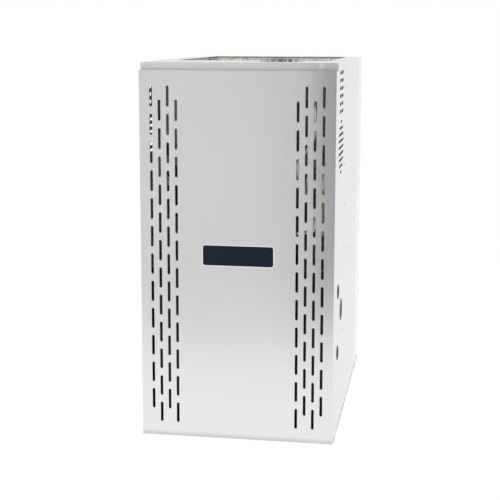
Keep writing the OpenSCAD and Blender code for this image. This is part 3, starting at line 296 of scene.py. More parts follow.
def new_piece(name, shape, paints, stands_for, body="cabinet", sharp=35):
    """Makes a piece from its shape, for the CAD node it stands for, and lets it ride on its body."""
    for vert in shape.verts:
        vert.co = spot(*vert.co)
    bmesh.ops.recalc_face_normals(shape, faces=shape.faces)
    mesh = as_mesh(name, shape)
    for paint in paints:
        mesh.materials.append(paint)
    mesh.shade_smooth()
    mesh.set_sharp_from_angle(angle=math.radians(sharp))
    piece = set_down(name, mesh)
    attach(piece, body)
    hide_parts(stands_for)
    return piece


def smooth_route(points, steps):
    """Rounds a route of a few points into one smooth curve."""
    points = [Vector(p) for p in points]
    ends = [points[0], *points, points[-1]]
    curve = []
    for i in range(len(points) - 1):
        a, b, c, d = ends[i:i + 4]
        for k in range(steps):
            t = k / steps
            curve.append(0.5 * (2 * b + (c - a) * t + (2 * a - 5 * b + 4 * c - d) * t ** 2
                                + (3 * b - a - 3 * c + d) * t ** 3))
    return curve + [points[-1]]


def across(axis):
    """An axis and two directions square to it."""
    axis = Vector(axis).normalized()
    u = axis.cross(Vector((0, 0, 1)) if abs(axis.z) < 0.9 else Vector((1, 0, 0))).normalized()
    return axis, u, axis.cross(u)


def ring_frames(points):
    """At each point of a route, two directions across it that don't twist along the way."""
    frames = []
    side = None
    for i, point in enumerate(points):
        along = (points[min(i + 1, len(points) - 1)] - points[max(i - 1, 0)]).normalized()
        side = side or across(along)[1]
        side = (side - along * side.dot(along)).normalized()
        frames.append((point, side, along.cross(side)))
    return frames


def round_about(count, start=0.0):
    """Evenly spaced angles round a circle."""
    return [start + 2 * math.pi * k / count for k in range(count)]


def band(shape, low, high, paint=0):
    """Closes the gap between two rings of points, or between a ring and one point."""
    steps = max(len(low), len(high))
    for k in range(steps):
        n = (k + 1) % steps
        corners = [low[k % len(low)], low[n % len(low)], high[n % len(high)], high[k % len(high)]]
        corners = list(dict.fromkeys(corners))
        if len(corners) > 2:
            shape.faces.new(corners).material_index = paint


def around(a, u, v):
    """The direction at an angle between two that are square to each other."""
    return math.cos(a) * u + math.sin(a) * v


def tube(shape, points, radius, sides, paint=0, closed=False):
    """A round tube along points, its ends capped."""
    rings = [[shape.verts.new(point + radius * around(a, u, v)) for a in round_about(sides)]
             for point, u, v in ring_frames(points)]
    for p, q in zip(rings, rings[1:] + rings[:closed]):
        band(shape, p, q, paint)
    if not closed:
        for end in (rings[0][::-1], rings[-1]):
            shape.faces.new(end).material_index = paint


def slab(shape, low, high, round_by=0.4, paint=0, steps=1, turn=None):
    """A block from corner to corner with softened edges, turned about its middle if asked."""
    made = bmesh.ops.create_cube(shape, size=1)["verts"]
    low, high = Vector(low), Vector(high)
    size = high - low
    for vert in made:
        vert.co *= size
    faces = {f for v in made for f in v.link_faces}
    rounded = bmesh.ops.bevel(shape, geom=list({e for v in made for e in v.link_edges}), segments=steps,
                              offset=min(round_by, 0.45 * min(size)), affect="EDGES", profile=0.5)
    edged = {f for f in faces if f.is_valid} | set(rounded["faces"])
    faces = {f for e in edged for v in e.verts for f in v.link_faces}
    move = Matrix.Translation((low + high) / 2) @ (turn.to_4x4() if turn else Matrix.Identity(4))
    bmesh.ops.transform(shape, matrix=move, verts=list({v for f in faces for v in f.verts}))
    for face in faces:
        face.material_index = paint


def lump(shape, middle, half, round_by, paint=0, turn=None):
    """A block given by its middle and half its size."""
    slab(shape, middle - Vector(half), middle + Vector(half), round_by, paint, turn=turn)


JACKETS = {"yellow": (0.86, 0.70, 0.10), "black": (0.02, 0.02, 0.022), "red": (0.62, 0.03, 0.02),
           "white": (0.80, 0.79, 0.74), "blue": (0.04, 0.12, 0.45), "orange": (0.66, 0.27, 0.07)}
TIE, TERMINAL, SLEEVE = 6, 7, 8
harness_paints = [finish(f"{name}_jacket", colour, 0.42, vary=0.08, grain=2500, relief=0.01, mottle=40,
                         dusty=0.15)
                  for name, colour in JACKETS.items()]
tie_nylon = finish("tie_nylon", (0.78, 0.77, 0.72), 0.45, vary=0.04, grain=1400)
terminal_tin = finish("terminal_tin", (0.72, 0.70, 0.66), 0.32, metal=1.0, vary=0.1, mottle=90)
sleeve_glass = finish("sleeve_glass", (0.95, 0.95, 0.93), 0.36, vary=0.03, grain=1500, relief=0.03, mottle=30,
                      coat=0.6)

# Each bundle: its route, then which jackets run in it
BUNDLES = [
    ([(144, 150, 336), (144, 150, 400), (158, 110, 470), (156, 40, 540), (154, -4, 590), (158, 6, 640),
      (130, 62, 690), (86, 74, 722), (77, 74, 724)], (1, 5, 3)),
    ([(150, 146, 336), (150, 146, 400), (172, 136, 450), (188, 50, 480), (191, -3, 508), (191, -5, 532),
      (192, 2, 554), (192, -4, 578), (193, -4, 604), (196, 14, 632), (195, 90, 656), (192, 160, 676),
      (192, 171, 684)], (0, 0, 3)),
    ([(156, 150, 336), (156, 150, 400), (176, 160, 470), (178, 164, 540), (144, 164, 596), (122, 162, 604),
      (122, 162, 587)], (3, 3)),
    ([(148, 156, 336), (148, 156, 400), (132, 140, 450), (90, 104, 464), (0, 100, 468), (-100, 96, 470),
      (-176, 92, 500), (-184, 90, 560), (-180, 92, 620), (-160, 92, 640), (-142, 84, 640), (-142, 74, 640)],
     (0, 4, 0)),
    ([(176, 128, 520), (187, 70, 560), (184, 16, 606), (172, -4, 644), (153, -5, 646), (133, -2, 646),
      (119, 40, 636), (117, 110, 612), (118, 134, 582)], (0, 5)),
    ([(150, 150, 336), (146, 140, 300), (96, 108, 268), (40, 98, 262), (10, 96, 264)], (0, 5, 3, 1, 4)),
    ([(170, 82, 344), (150, 92, 330), (112, 96, 300), (92, 92, 326)], (1, 3)),
    ([(-60, 92, 256), (-80, 96, 236), (-130, 150, 232), (-150, 240, 280), (-146, 300, 352)], (4, 4)),
    ([(-100, 92, 384), (-150, 70, 392), (-176, 60, 380), (-168, 60, 352)], (1, 2)),
]
# Woven glass sleeves over the leads that pass near the burners, 8 and 7 mm across
SLEEVES = [
    ([(84, 70, 726), (108, 62, 758), (138, 48, 784), (162, 14, 784), (171, -6, 764), (173, -7, 744),
      (173, -6, 722), (170, -4, 700), (156, 2, 674), (138, -2, 650), (134, -5, 630), (139, 4, 602),
      (156, 14, 568), (170, 6, 532), (174, -3, 508), (169, -5, 490), (152, -3, 486), (136, -2, 484),
      (130, 24, 468), (138, 90, 440), (148, 136, 416)], 4.0),
    ([(192, -4, 584), (193, -4, 604), (196, 14, 632), (195, 90, 656), (193, 140, 670)], 3.5),
]
WIRE_D, WIRE_TWIST = 1.9, 0.22  # the twist is in radians from one point of the route to the next
TIE_R, TIE_EVERY = 2.4, 13
wires = bmesh.new()
for route, colours in BUNDLES:
    line = smooth_route(route, 6)
    for k, colour in enumerate(colours):
        offset = WIRE_D * 0.62 if len(colours) > 1 else 0
        strand = []
        for i, (point, u, v) in enumerate(ring_frames(line)):
            a = 2 * math.pi * k / len(colours) + WIRE_TWIST * i
            strand.append(point + offset * around(a, u, v))
        tube(wires, strand, WIRE_D / 2, 8, colour)
        lump(wires, strand[-1], (1.6, 1.6, 1.6), 0.5, TERMINAL)
    for point, u, v in ring_frames(line)[8:-4:TIE_EVERY]:
        loop = [point + TIE_R * around(a, u, v) for a in round_about(14)]
        tube(wires, loop, 0.6, 6, TIE, closed=True)
        lump(wires, loop[0], (1.3, 1.3, 1.3), 0.3, TIE)
for route, radius in SLEEVES:
    tube(wires, smooth_route(route, 6), radius, 16, SLEEVE)
slab(wires, (187, -8, 483), (195, 0, 492), 1.2, TIE, 2)
new_piece("wires_tied", wires, harness_paints + [tie_nylon, terminal_tin, sleeve_glass],
          "wire_harness")

# ---- Pressure hose -----------------------------------------------------------------
# A soft silicone tube that carries the draft inducer's suction to the pressure switch. It is
# pushed over the barbed nipples at both ends.
hose_rubber = finish("hose_rubber", (0.74, 0.73, 0.68), 0.38, vary=0.04, grain=1800)
set_skin(hose_rubber, "Subsurface Weight", 0.12)
HOSE_R, SWELL_R = 3, 3.25
hose = bmesh.new()
line = smooth_route([(-155, 129.5, 792), (-155, 118, 792), (-134, 102, 786), (-95, 100, 796), (-45, 110, 812),
                     (-8, 122, 816), (4, 124, 802), (4, 124, 791)], 7)
tube(hose, line, HOSE_R, 14)
for end, way in ((0, 1), (-1, -1)):
    along = (line[end + way] - line[end]).normalized()
    for k in range(3):
        tube(hose, [line[end] + along * (s + 1.6 * k) for s in (1.2, 2.0)], SWELL_R, 14)
new_piece("draft_hose", hose, [hose_rubber], "pressure_hose")

# ---- Casing: sides, back and top plate ---------------------------------------------
# Folded from 1 mm steel sheet, coated a satin silver grey before it was pressed. The sides
# have louvres and pressed holes; a narrow strip along each rear edge is a second thickness.
SILVER_GREY = (0.795, 0.795, 0.795)
ENAMEL_GRAIN = 0.005
REAR_STRIP = spot(0, 600, 0).y


def cabinet_enamel(name, metal=0.62, rough=0.34, **more):
    """The satin silver-grey coating of the cabinet, rubbed to zinc at its folds."""
    return finish(name, SILVER_GREY, rough, metal=metal, vary=0.012, grain=1100, relief=ENAMEL_GRAIN,
                  mottle=5, worn=(0.50, 0.50, 0.49), worn_amount=0.35, worn_width=0.6, rough_vary=0.025,
                  **more)


def axes(tree):
    """The three coordinates over the furnace, in metres."""
    return node(tree, "SeparateXYZ", {0: on_piece(tree)}).node.outputs


def recolour(paint, factor, other, way="MIX"):
    """Mixes another colour or a pattern into a finish's colour."""
    colour = paint.node_tree.nodes["Principled BSDF"].inputs["Base Color"]
    mixed = blend(paint.node_tree, factor, colour.links[0].from_socket, other, way)
    paint.node_tree.links.new(mixed, colour)


def emboss(paint, height, depth):
    """Gives a finish a relief of its own, depth millimetres deep."""
    bump = paint.node_tree.nodes["Bump"].inputs
    paint.node_tree.links.new(height, bump["Height"])
    bump["Distance"].default_value = depth / 1000


def press(paint, form, grain_relief):
    """Adds a pressed form, in metres, under the grain of a finish."""
    tree = paint.node_tree
    grain = tree.nodes["Bump"].inputs["Height"].links[0].from_socket
    emboss(paint, reckon(tree, reckon(tree, grain, grain_relief / 1000), form, "ADD"), 1000)


def dress(paint, *node_names):
    """Gives CAD pieces their finish."""
    for node_name in node_names:
        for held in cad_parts[node_name].material_slots:
            held.material = paint


side_paint = cabinet_enamel("casing_enamel", dusty=0.10)
tree = side_paint.node_tree
along = axes(tree)
press(side_paint, stretch(tree, along["Y"], REAR_STRIP, REAR_STRIP + 0.0025, 0.0, 0.0007), ENAMEL_GRAIN)
# the rear strip is coloured paler than the rest of the side
recolour(side_paint, stretch(tree, along["Y"], REAR_STRIP, REAR_STRIP + 0.002), (0.90, 0.90, 0.90, 1))
# the bottom edge is painted dark in blotches: partly painted shadow where the casing meets the floor, partly
# scuffs and grime where it has stood and been dragged
base_shadow_and_grime = stretch(tree, along["Z"], 0.004, 0.012, 1.0, 0.0)
shadow_and_grime_blots = stretch(tree, cloud(tree, 22.0, 5.0), 0.34, 0.56)
recolour(side_paint, reckon(tree, base_shadow_and_grime, shadow_and_grime_blots, clamp=True), (0.10, 0.10, 0.095, 1))
dress(side_paint, "left_side_panel", "right_side_panel")
dress(cabinet_enamel("plate_enamel", dusty=0.22), "back_panel", "top_plate")

# ---- Base pan, blower deck and vestibule panel -------------------------------------
# The inner sheets are bare galvanised steel, spot-welded and screwed between the sides. The
# zinc shows its crystals, duller where air and hands have passed over it.
spangle, given, out = effect("zinc_spangle", {"Size": 60}, ("Tint", "Shine"))
wander = node(spangle, "VectorMath", {0: cloud(spangle, 45.0, gives="Color"), 1: (0.006, 0.006, 0.006)},
              operation="MULTIPLY")
where = node(spangle, "VectorMath", {0: on_piece(spangle), 1: wander}, operation="ADD")
crystals = node(spangle, "TexVoronoi", {"Vector": where, "Scale": given["Size"]}, "Color")
crystals = node(spangle, "SeparateColor", {0: crystals}).node.outputs
spangle.links.new(crystals[0], out["Tint"])
spangle.links.new(crystals[1], out["Shine"])


def galvanised(name, colour=(0.66, 0.67, 0.68), rough=0.34, size=70.0, dusty=0.18, metal=0.9):
    """Bare zinc-coated sheet with its crystal pattern."""
    sheet = finish(name, colour, rough, metal=metal, grain=700, relief=0.01, mottle=7,
                   worn=(0.80, 0.81, 0.82), worn_amount=0.4, dusty=dusty)
    tree = sheet.node_tree
    crystal = use(tree, spangle, Size=size)
    recolour(sheet, 1.0, stretch(tree, crystal["Tint"], 0, 1, 0.84, 1.10), "MULTIPLY")
    shine = stretch(tree, crystal["Shine"], 0, 1, rough - 0.08, rough + 0.12)
    tree.links.new(shine, tree.nodes["Principled BSDF"].inputs["Roughness"])
    return sheet


bare_zinc = galvanised("bare_zinc")
dress(bare_zinc, "base_pan", "vestibule_panel", "blower_deck")

# ---- Casing screws -----------------------------------------------------------------
# Zinc-plated sheet-metal screws with a hexagon and a pressed washer in one piece, driven
# through the sides into the inner sheets.
screw_zinc = finish("screw_zinc", (0.88, 0.88, 0.87), 0.34, metal=0.45, vary=0.06, grain=3000, mottle=120,
                    worn=(0.45, 0.44, 0.42), worn_amount=0.5, worn_width=0.4)
# screw slots, cross recesses and the blower motor's vent pads get a near-black colour: painted shade for the
# inside of these hollows
recess_painted_shade = finish("recess_painted_shade", 0.05, 0.6, vary=0.2, grain=3000)
WASHER_R, HEXAGON_R, HEAD_H = 4.5, 3.24, 1.9


def turned(shape, profile, origin, axis, steps, paint=0):
    """A lathe form: profile gives (radius, distance along the axis)."""
    axis, u, v = across(axis)
    rings = []
    for radius, height in profile:
        middle = Vector(origin) + axis * height
        angles = round_about(steps) if radius else [0]
        rings.append([shape.verts.new(middle + radius * around(a, u, v)) for a in angles])
    for low, high in zip(rings, rings[1:]):
        band(shape, low, high, paint)


def hex_screw(shape, origin, axis):
    """A slotted hexagon washer head, its underside at origin."""
    turned(shape, [(WASHER_R, 0), (WASHER_R, 0.45), (WASHER_R * 0.92, 0.75), (HEXAGON_R * 0.95, 0.8)], origin,
           axis, 20)
    turned(shape, [(HEXAGON_R, 0.7), (HEXAGON_R, HEAD_H - 0.35), (HEXAGON_R * 0.86, HEAD_H), (0, HEAD_H)],
           origin, axis, 6)
    axis, u, v = across(axis)
    # the slot takes the next paint, the painted shade of a recess
    slot = Vector(origin) + axis * (HEAD_H - 0.25)
    slab(shape, slot - Vector((1.9, 0.38, 0)), slot + Vector((1.9, 0.38, 0.6)), 0.05, 1,
         turn=Matrix((u, v, axis)).transposed())


SIDE_SCREWS = [(14, 855.6), (160, 855.6), (196, 803.6), (196, 620), (196, 526), (196, 424), (60, 404),
               (300, 404), (670, 404), (60, 12), (200, 12), (670, 12), (196, 216), (718, 200), (718, 460),
               (718, 743.6)]
screws = bmesh.new()
for side in (-1, 1):
    for y, z in SIDE_SCREWS:
        hex_screw(screws, (side * 222.25, y, z), (side, 0, 0))
    hex_screw(screws, (side * 185.25, -1, 857.6), (0, -1, 0))
    for z in (60, 400, 803.6):
        hex_screw(screws, (side * 212.25, 730, z), (0, 1, 0))
new_piece("sheet_screws", screws, [screw_zinc, recess_painted_shade], "casing_screws")

# ---- Cable bushings and hole plug --------------------------------------------------
# Black nylon bushings snap into the side holes and keep cables off the sheet's edge; the
# larger knock-out that isn't used has a dished plug.
black_nylon = finish("black_nylon", (0.035, 0.035, 0.038), 0.5, vary=0.15, grain=1700, worn=0.13,
                     worn_amount=0.5, dusty=0.25)
bushings = bmesh.new()
for place, way, hole in (((222.25, 62, 340), 1, 30), ((222.25, 62, 195), 1, 30), ((-222.25, 62, 195), -1, 30),
                         ((-222.25, 42, 617), -1, 44)):
    neck = hole / 2 - 0.2
    bore = neck - 3.5
    turned(bushings, [(bore, -9), (neck - 1.2, -9), (neck, -7.6), (neck - 0.3, -2), (neck, 0),
                      (neck + 2.1, 0), (neck + 2.1, 0.6), (neck + 1.5, 1.3), (neck + 0.4, 1.6),
                      (bore + 1.0, 1.4), (bore, 0.6), (bore, -9)], place, (way, 0, 0), 40)
    for a in round_about(8):
        finger = Vector((-way * 5.2, math.cos(a) * (neck - 0.3), math.sin(a) * (neck - 0.3)))
        lump(bushings, Vector(place) + finger, (2.6, 0.9, 0.9), 0.5)
new_piece("snap_bushings", bushings, [black_nylon], "side_bushings")
plug_nylon = finish("plug_nylon", (0.16, 0.165, 0.17), 0.42, vary=0.1, grain=1700, dusty=0.3, worn=0.3)
plug = bmesh.new()
turned(plug, [(0, -4.4), (16, -4.5), (20.5, -4.2), (21.8, -3.0), (22.2, 0.3), (23.2, 1.0), (25.5, 1.2),
              (26.7, 0.8), (27.0, 0.0), (24.6, 0.0), (24.4, -6.2), (22.6, -6.9), (20.8, -5.6), (0, -5.6)],
       (222.25, 142, 280), (1, 0, 0), 48)
new_piece("dished_plug", plug, [plug_nylon], "hole_plug")

# ---- Foil-faced insulation ---------------------------------------------------------
# Half-inch glass-fibre blankets with a crinkled aluminium foil face line the heat exchanger
# chamber. They hang on weld pins with pressed washers; the golden fibre shows at cut edges.
creases, given, out = effect("foil_creases", {"Scale": 40}, ("Height", "Tint"))
place = on_piece(creases)
pull = cloud(creases, 14.0, place=place, gives="Color")
pull = node(creases, "VectorMath", {0: pull, 1: (0.05, 0.05, 0.05)}, operation="MULTIPLY")
moved = node(creases, "VectorMath", {0: place, 1: pull}, operation="ADD")
cells = node(creases, "TexVoronoi", {"Vector": moved, "Scale": given["Scale"]}, "Distance",
             feature="DISTANCE_TO_EDGE")
small = cloud(creases, 120.0, 3.0, 0.7, moved)
ridges = reckon(creases, stretch(creases, cells, 0.0, 0.35, 1.0, 0.0), 0.7)
creases.links.new(reckon(creases, ridges, small, "ADD"), out["Height"])
# the fine crinkle also gives a Tint that darkens the foil's colour in its low spots: painted shade in the
# crinkles
creases.links.new(small, out["Tint"])

foil = finish("crinkled_foil", 0.97, 0.48, metal=0.18, vary=0.03, mottle=25, dusty=0.12, rough_vary=0.05)
crinkle = use(foil.node_tree, creases, Scale=46)
emboss(foil, crinkle["Height"], 2.4)
# painted shade in the crinkles: the foil's colour is darkened where its fine crinkle lies low
recolour(foil, 1.0, stretch(foil.node_tree, crinkle["Tint"], 0.30, 0.55, 0.55, 1.06), "MULTIPLY")

fibre = finish("golden_fibre", (0.44, 0.37, 0.20), 0.92, vary=0.25, grain=420, mottle=60)
strands = node(fibre.node_tree, "TexWave", {"Vector": on_piece(fibre.node_tree), "Scale": 130.0,
                                            "Distortion": 14.0, "Detail": 4.0}, "Fac", bands_direction="Z")
emboss(fibre, strands, 0.6)
recolour(fibre, 1.0, stretch(fibre.node_tree, strands, 0, 1, 0.55, 1.25), "MULTIPLY")
set_skin(fibre, "Sheen Weight", 0.3)

pressed_washer = galvanised("pressed_washer", size=140.0)
FOIL_CREASE, FOIL_CELL, BLANKET, BARE_EDGE = 1.6, 8.5, 12, 4.2


def room(node_name):
    """The two far corners of a CAD piece, in the casing's millimetres."""
    return [corner * 1000 - Vector((0, CASE_FRONT, 0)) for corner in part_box(node_name)]


def crumple(point):
    """How far the foil stands off its plane at a point."""
    point = spot(*point)
    value = noise.noise(point * 22) * 0.6 + noise.noise(point * 55 + Vector((3, 1, 7))) * 0.3
    fold = abs(noise.noise(point * 13 + Vector((9, 4, 2))))
    return value * 0.6 + (0.5 - fold) * 0.7


def blanket(shape, low, high, face, bare=0.0):
    """A blanket between two corners; its foil looks along face, and ends bare millimetres below its top."""
    low, high = Vector(low), Vector(high)
    flat = 0 if face[0] else 1
    run = 1 - flat
    foil_at, back_at = (high[flat], low[flat]) if face[flat] > 0 else (low[flat], high[flat])
    runs = max(2, round((high[run] - low[run]) / FOIL_CELL))
    levels = max(2, round((high.z - bare - low.z) / FOIL_CELL))
    heights = [low.z + (high.z - bare - low.z) * j / levels for j in range(levels + 1)]
    if bare:
        heights += [high.z - bare / 2, high.z]
    rises = len(heights) - 1
    grid = []
    for i in range(runs + 1):
        column = []
        for j, height in enumerate(heights):
            point = Vector((0, 0, height))
            point[run] = low[run] + (high[run] - low[run]) * i / runs
            point[flat] = foil_at
            edge = min(i, runs - i, 2, j, rises - j) / 2
            point[flat] -= face[flat] * FOIL_CREASE * (0.9 - crumple(point) * edge)
            column.append(shape.verts.new(point))
        grid.append(column)
    for left, right in zip(grid, grid[1:]):
        for j in range(rises):
            quad = (left[j], right[j], right[j + 1], left[j + 1])
            shape.faces.new(quad).material_index = 1 if j >= levels else 0
    rim = ([column[0] for column in grid[:-1]] + grid[-1][:-1]
           + [column[-1] for column in grid[:0:-1]] + grid[0][:0:-1])
    row = rim
    for share in (0.35, 0.7, 1.0):
        ring = []
        for vert in rim:
            point = vert.co.copy()
            point[flat] += (back_at - point[flat]) * share
            if share < 1 and point.z > high.z - 1:
                point.z -= 1.2 * abs(noise.noise(spot(*point) * 90))
            ring.append(shape.verts.new(point))
        band(shape, row, ring, 1)
        row = ring
    shape.faces.new(row).material_index = 1


def weld_pins(shape, low, high, face, shares):
    """Pressed washers with their pins, against the foil at shares of its length and height."""
    for share in shares:
        for rise in (0.22, 0.78):
            point = low.lerp(high, share)
            point.z = low.z + (high.z - low.z) * rise
            turned(shape, [(16.5, 0), (16.5, 0.4), (14, 1.1), (5, 0.4), (2.2, 0.9), (1.3, 1.0), (1.3, 3.2),
                           (0.9, 3.6), (0, 3.6)], point, face, 28, 2)


BLANKET_PAINTS = [foil, fibre, pressed_washer]
low, high = room("side_insulation")
lining = bmesh.new()
for way in (-1, 1):
    wall, face = way * high.x, way * (high.x - BLANKET)
    blanket(lining, (min(wall, face), low.y, low.z), (max(wall, face), high.y, high.z), (-way, 0, 0))
    weld_pins(lining, Vector((face, low.y, low.z)), Vector((face, high.y, high.z)), (-way, 0, 0),
              (0.14, 0.5, 0.86))
new_piece("side_blanket", lining, BLANKET_PAINTS, "side_insulation", sharp=60)
low, high = room("back_insulation")
lining = bmesh.new()
blanket(lining, low, high, (0, -1, 0), BARE_EDGE)
weld_pins(lining, low, Vector((high.x, low.y, high.z)), (0, -1, 0), (0.2, 0.8))
new_piece("rear_blanket", lining, BLANKET_PAINTS, "back_insulation", sharp=60)

# ---- Heat exchanger ----------------------------------------------------------------
# Four serpentine tubes of aluminised steel, bent back on themselves so that hot gas passes
# four times. The first pass, nearest the flame, has taken on straw and blue heat colours.
tube_steel = finish("aluminised_tube", (0.52, 0.53, 0.53), 0.38, metal=0.88, vary=0.10, relief=0.015,
                    mottle=14, dusty=0.15)
tree = tube_steel.node_tree
along = axes(tree)
heat = stretch(tree, along["Z"], 0.575, 0.535)
heat = reckon(tree, heat, stretch(tree, along["Y"], -0.165, 0.22, 1.0, 0.12))
uneven = stretch(tree, cloud(tree, 26.0, 4.0), 0.3, 0.7, 0.7, 1.15)
tints = node(tree, "ValToRGB", {0: reckon(tree, heat, uneven, clamp=True)}, "Color")
ramp = tints.node.color_ramp.elements
ramp[0].color = (1, 1, 1, 1)
ramp[1].color = (0.50, 0.52, 0.62, 1)
for at, tint in ((0.30, (1.0, 0.95, 0.80, 1)), (0.52, (0.92, 0.70, 0.42, 1)), (0.68, (0.62, 0.42, 0.50, 1)),
                 (0.84, (0.34, 0.40, 0.68, 1))):
    ramp.new(at).color = tint
recolour(tube_steel, 1.0, tints, "MULTIPLY")
dress(tube_steel, *(f"exchanger_tube_{number}" for number in range(1, 5)))
aluminised = galvanised("aluminised_sheet", (0.56, 0.57, 0.58), 0.40, 150, 0.2, 0.88)
dress(aluminised, "tube_baffle", "collector_box")

# ---- Draft inducer -----------------------------------------------------------------
# A small centrifugal fan draws the burnt gas out of the collector. Its pressed steel housing
# is painted black; the open-frame motor has a cooling fan, and its wheel is aluminised.


def lined(paint, scale, way, depth):
    """Presses fine lines into a finish, as of stacked sheets or turns of wire."""
    lines = node(paint.node_tree, "TexWave", {"Vector": on_piece(paint.node_tree), "Scale": scale}, "Fac",
                 bands_direction=way)
    emboss(paint, lines, depth)
    return paint


dress(finish("black_enamel", (0.022, 0.023, 0.025), 0.36, vary=0.15, grain=1300, mottle=20, worn=0.33,
             worn_amount=0.7, worn_width=0.6, dusty=0.35, coat=0.15), "inducer_housing")
dress(finish("gasket_felt", (0.60, 0.58, 0.52), 0.92, vary=0.12, grain=700, relief=0.2), "inducer_gasket")
dress(aluminised, "inducer_wheel")
turned_steel = finish("turned_steel", (0.62, 0.62, 0.61), 0.22, metal=1.0, vary=0.06, grain=2500, mottle=60)
dress(turned_steel, "inducer_shaft")
motor_black = finish("motor_enamel", (0.030, 0.031, 0.034), 0.42, vary=0.12, grain=1100, relief=0.03,
                     mottle=15, worn=0.30, dusty=0.3)
core_steel = lined(finish("core_steel", (0.30, 0.30, 0.31), 0.38, metal=0.85, vary=0.12, mottle=30,
                          dusty=0.2), 560.0, "Y", 0.3)
copper_wire = lined(finish("enamelled_copper", (0.60, 0.20, 0.055), 0.28, metal=0.8, vary=0.1, mottle=50),
                    420.0, "Z", 0.4)
fan_nylon = finish("fan_nylon", (0.05, 0.05, 0.055), 0.45, vary=0.15, grain=1700, relief=0.01, dusty=0.3)
CORE, ENAMEL, COPPER, FAN = range(4)
FORWARD = (0, -1, 0)

low, high = room("inducer_motor")
R = (high.x - low.x) / 2
back = Vector(((low.x + high.x) / 2, high.y, (low.z + high.z) / 2))
motor = bmesh.new()


def outward(a, twist=0.0):
    """The direction at an angle round a shaft that points forward."""
    return Vector((math.cos(a + twist), 0, math.sin(a + twist)))


turned(motor, [(6, 0), (R - 6, 0), (R - 4.5, 1), (R - 4.5, 8), (R - 7, 9.6), (12, 9.6), (6, 9.6), (6, 0)],
       back, FORWARD, 56, ENAMEL)
turned(motor, [(R - 1.2, 9.0), (R - 0.2, 9.4), (R - 0.2, 27.2), (R - 1.2, 27.8), (20, 27.8), (20, 9.0),
               (R - 1.2, 9.0)], back, FORWARD, 56, CORE)
for a in round_about(10, 0.2):
    middle = back + outward(a) * (R - 15.5) + Vector((0, -29.5, 0))
    tube(motor, [middle + outward(a, math.pi / 2) * d for d in (-7.8, -3, 3, 7.8)], 4.2, 10, COPPER)
turned(motor, [(0, 27), (14, 27), (17, 28.5), (17, 35), (13, 38.6), (6.5, 39.6), (0, 39.6)],
       back, FORWARD, 56, ENAMEL)
for a in round_about(3, 0.5):
    tube(motor, [back + outward(a) * (R * s) + Vector((0, -y, 0))
                 for s, y in ((0.30, 37), (0.62, 36.5), (0.86, 33), (0.90, 28))], 2.6, 8, ENAMEL)
fan_at = back + Vector((0, -40.5, 0))
turned(motor, [(0, 0), (9, 0), (9, 5.8), (7.5, 6.6), (0, 6.6)], fan_at, FORWARD, 24, FAN)
for a in round_about(7):
    corners = [fan_at + outward(a, twist) * r + Vector((0, -lift, 0)) for r, lift, twist in (
        (8, 0.4, -0.05), (R * 0.86, 0.2, -0.24), (R * 0.86, 6.2, 0.24), (8, 5.6, 0.05))]
    front = [motor.verts.new(p) for p in corners]
    rear = [motor.verts.new(p + Vector((0, -0.8, 0))) for p in corners]
    for blade_face in (front, rear[::-1]):
        motor.faces.new(blade_face).material_index = FAN
    band(motor, front, rear, FAN)
new_piece("inducer_motor_open", motor, [core_steel, motor_black, copper_wire, fan_nylon],
          "inducer_motor")

# ---- Vent collar -------------------------------------------------------------------
# Galvanised collar for a 4 in vent pipe, swaged and crimped at its free end so that a pipe
# slips over it. It is screwed to the inducer housing's outlet through a flat flange.
low, high = room("vent_collar")
COLLAR_X, COLLAR_Y, COLLAR_R, STEPS = 80, 122, 51.6, 192
CRIMP_DEPTH, CRIMP_COUNT, CRIMP_H = 1.1, 20, 28.5
BEAD, CRIMP = low.z + 18.5, high.z - CRIMP_H
collar = bmesh.new()
slab(collar, (50, 70, low.z), (110, high.y - 0.2 if high.y < COLLAR_Y + 52 else 150, low.z + 1.6))
sections = [low.z + 1.7] + [BEAD + s for s in (-3, -2.2, -1, 0, 1, 2.2, 3)]
sections += [CRIMP + CRIMP_H * k / 9 for k in range(10)]
rings = []
for thickness in (0, 0.6):
    for z in sections[::-1] if thickness else sections:
        gather = max(0.0, min(1.0, (z - CRIMP) / 7)) * CRIMP_DEPTH
        ring = []
        for a in round_about(STEPS):
            r = COLLAR_R + 0.4 * max(0.0, 1 - abs(z - BEAD) / 2.4)
            r -= gather * (1 - math.cos(CRIMP_COUNT * a)) + thickness
            ring.append(collar.verts.new((COLLAR_X + r * math.cos(a), COLLAR_Y + r * math.sin(a), z)))
        rings.append(ring)
for p, q in zip(rings, rings[1:] + rings[:1]):
    band(collar, p, q)
tube(collar, [Vector((COLLAR_X - 51.3, COLLAR_Y + 2, z)) for z in (low.z + 4, BEAD - 5)], 0.5, 6)
new_piece("crimped_collar", collar, [galvanised("collar_zinc", size=90.0)], "vent_collar",
          sharp=50)

# ---- Burner box and burners --------------------------------------------------------
# A pressed aluminised box carries four in-shot burners, each a flared tube that draws air in
# around its jet. The burners' stamped shells are blued around the flame end.
dress(aluminised, "burner_box")
dress(finish("burner_steel", 0.50, 0.32, metal=0.92, vary=0.14, mottle=26, worn=0.72, dusty=0.2), "burners")

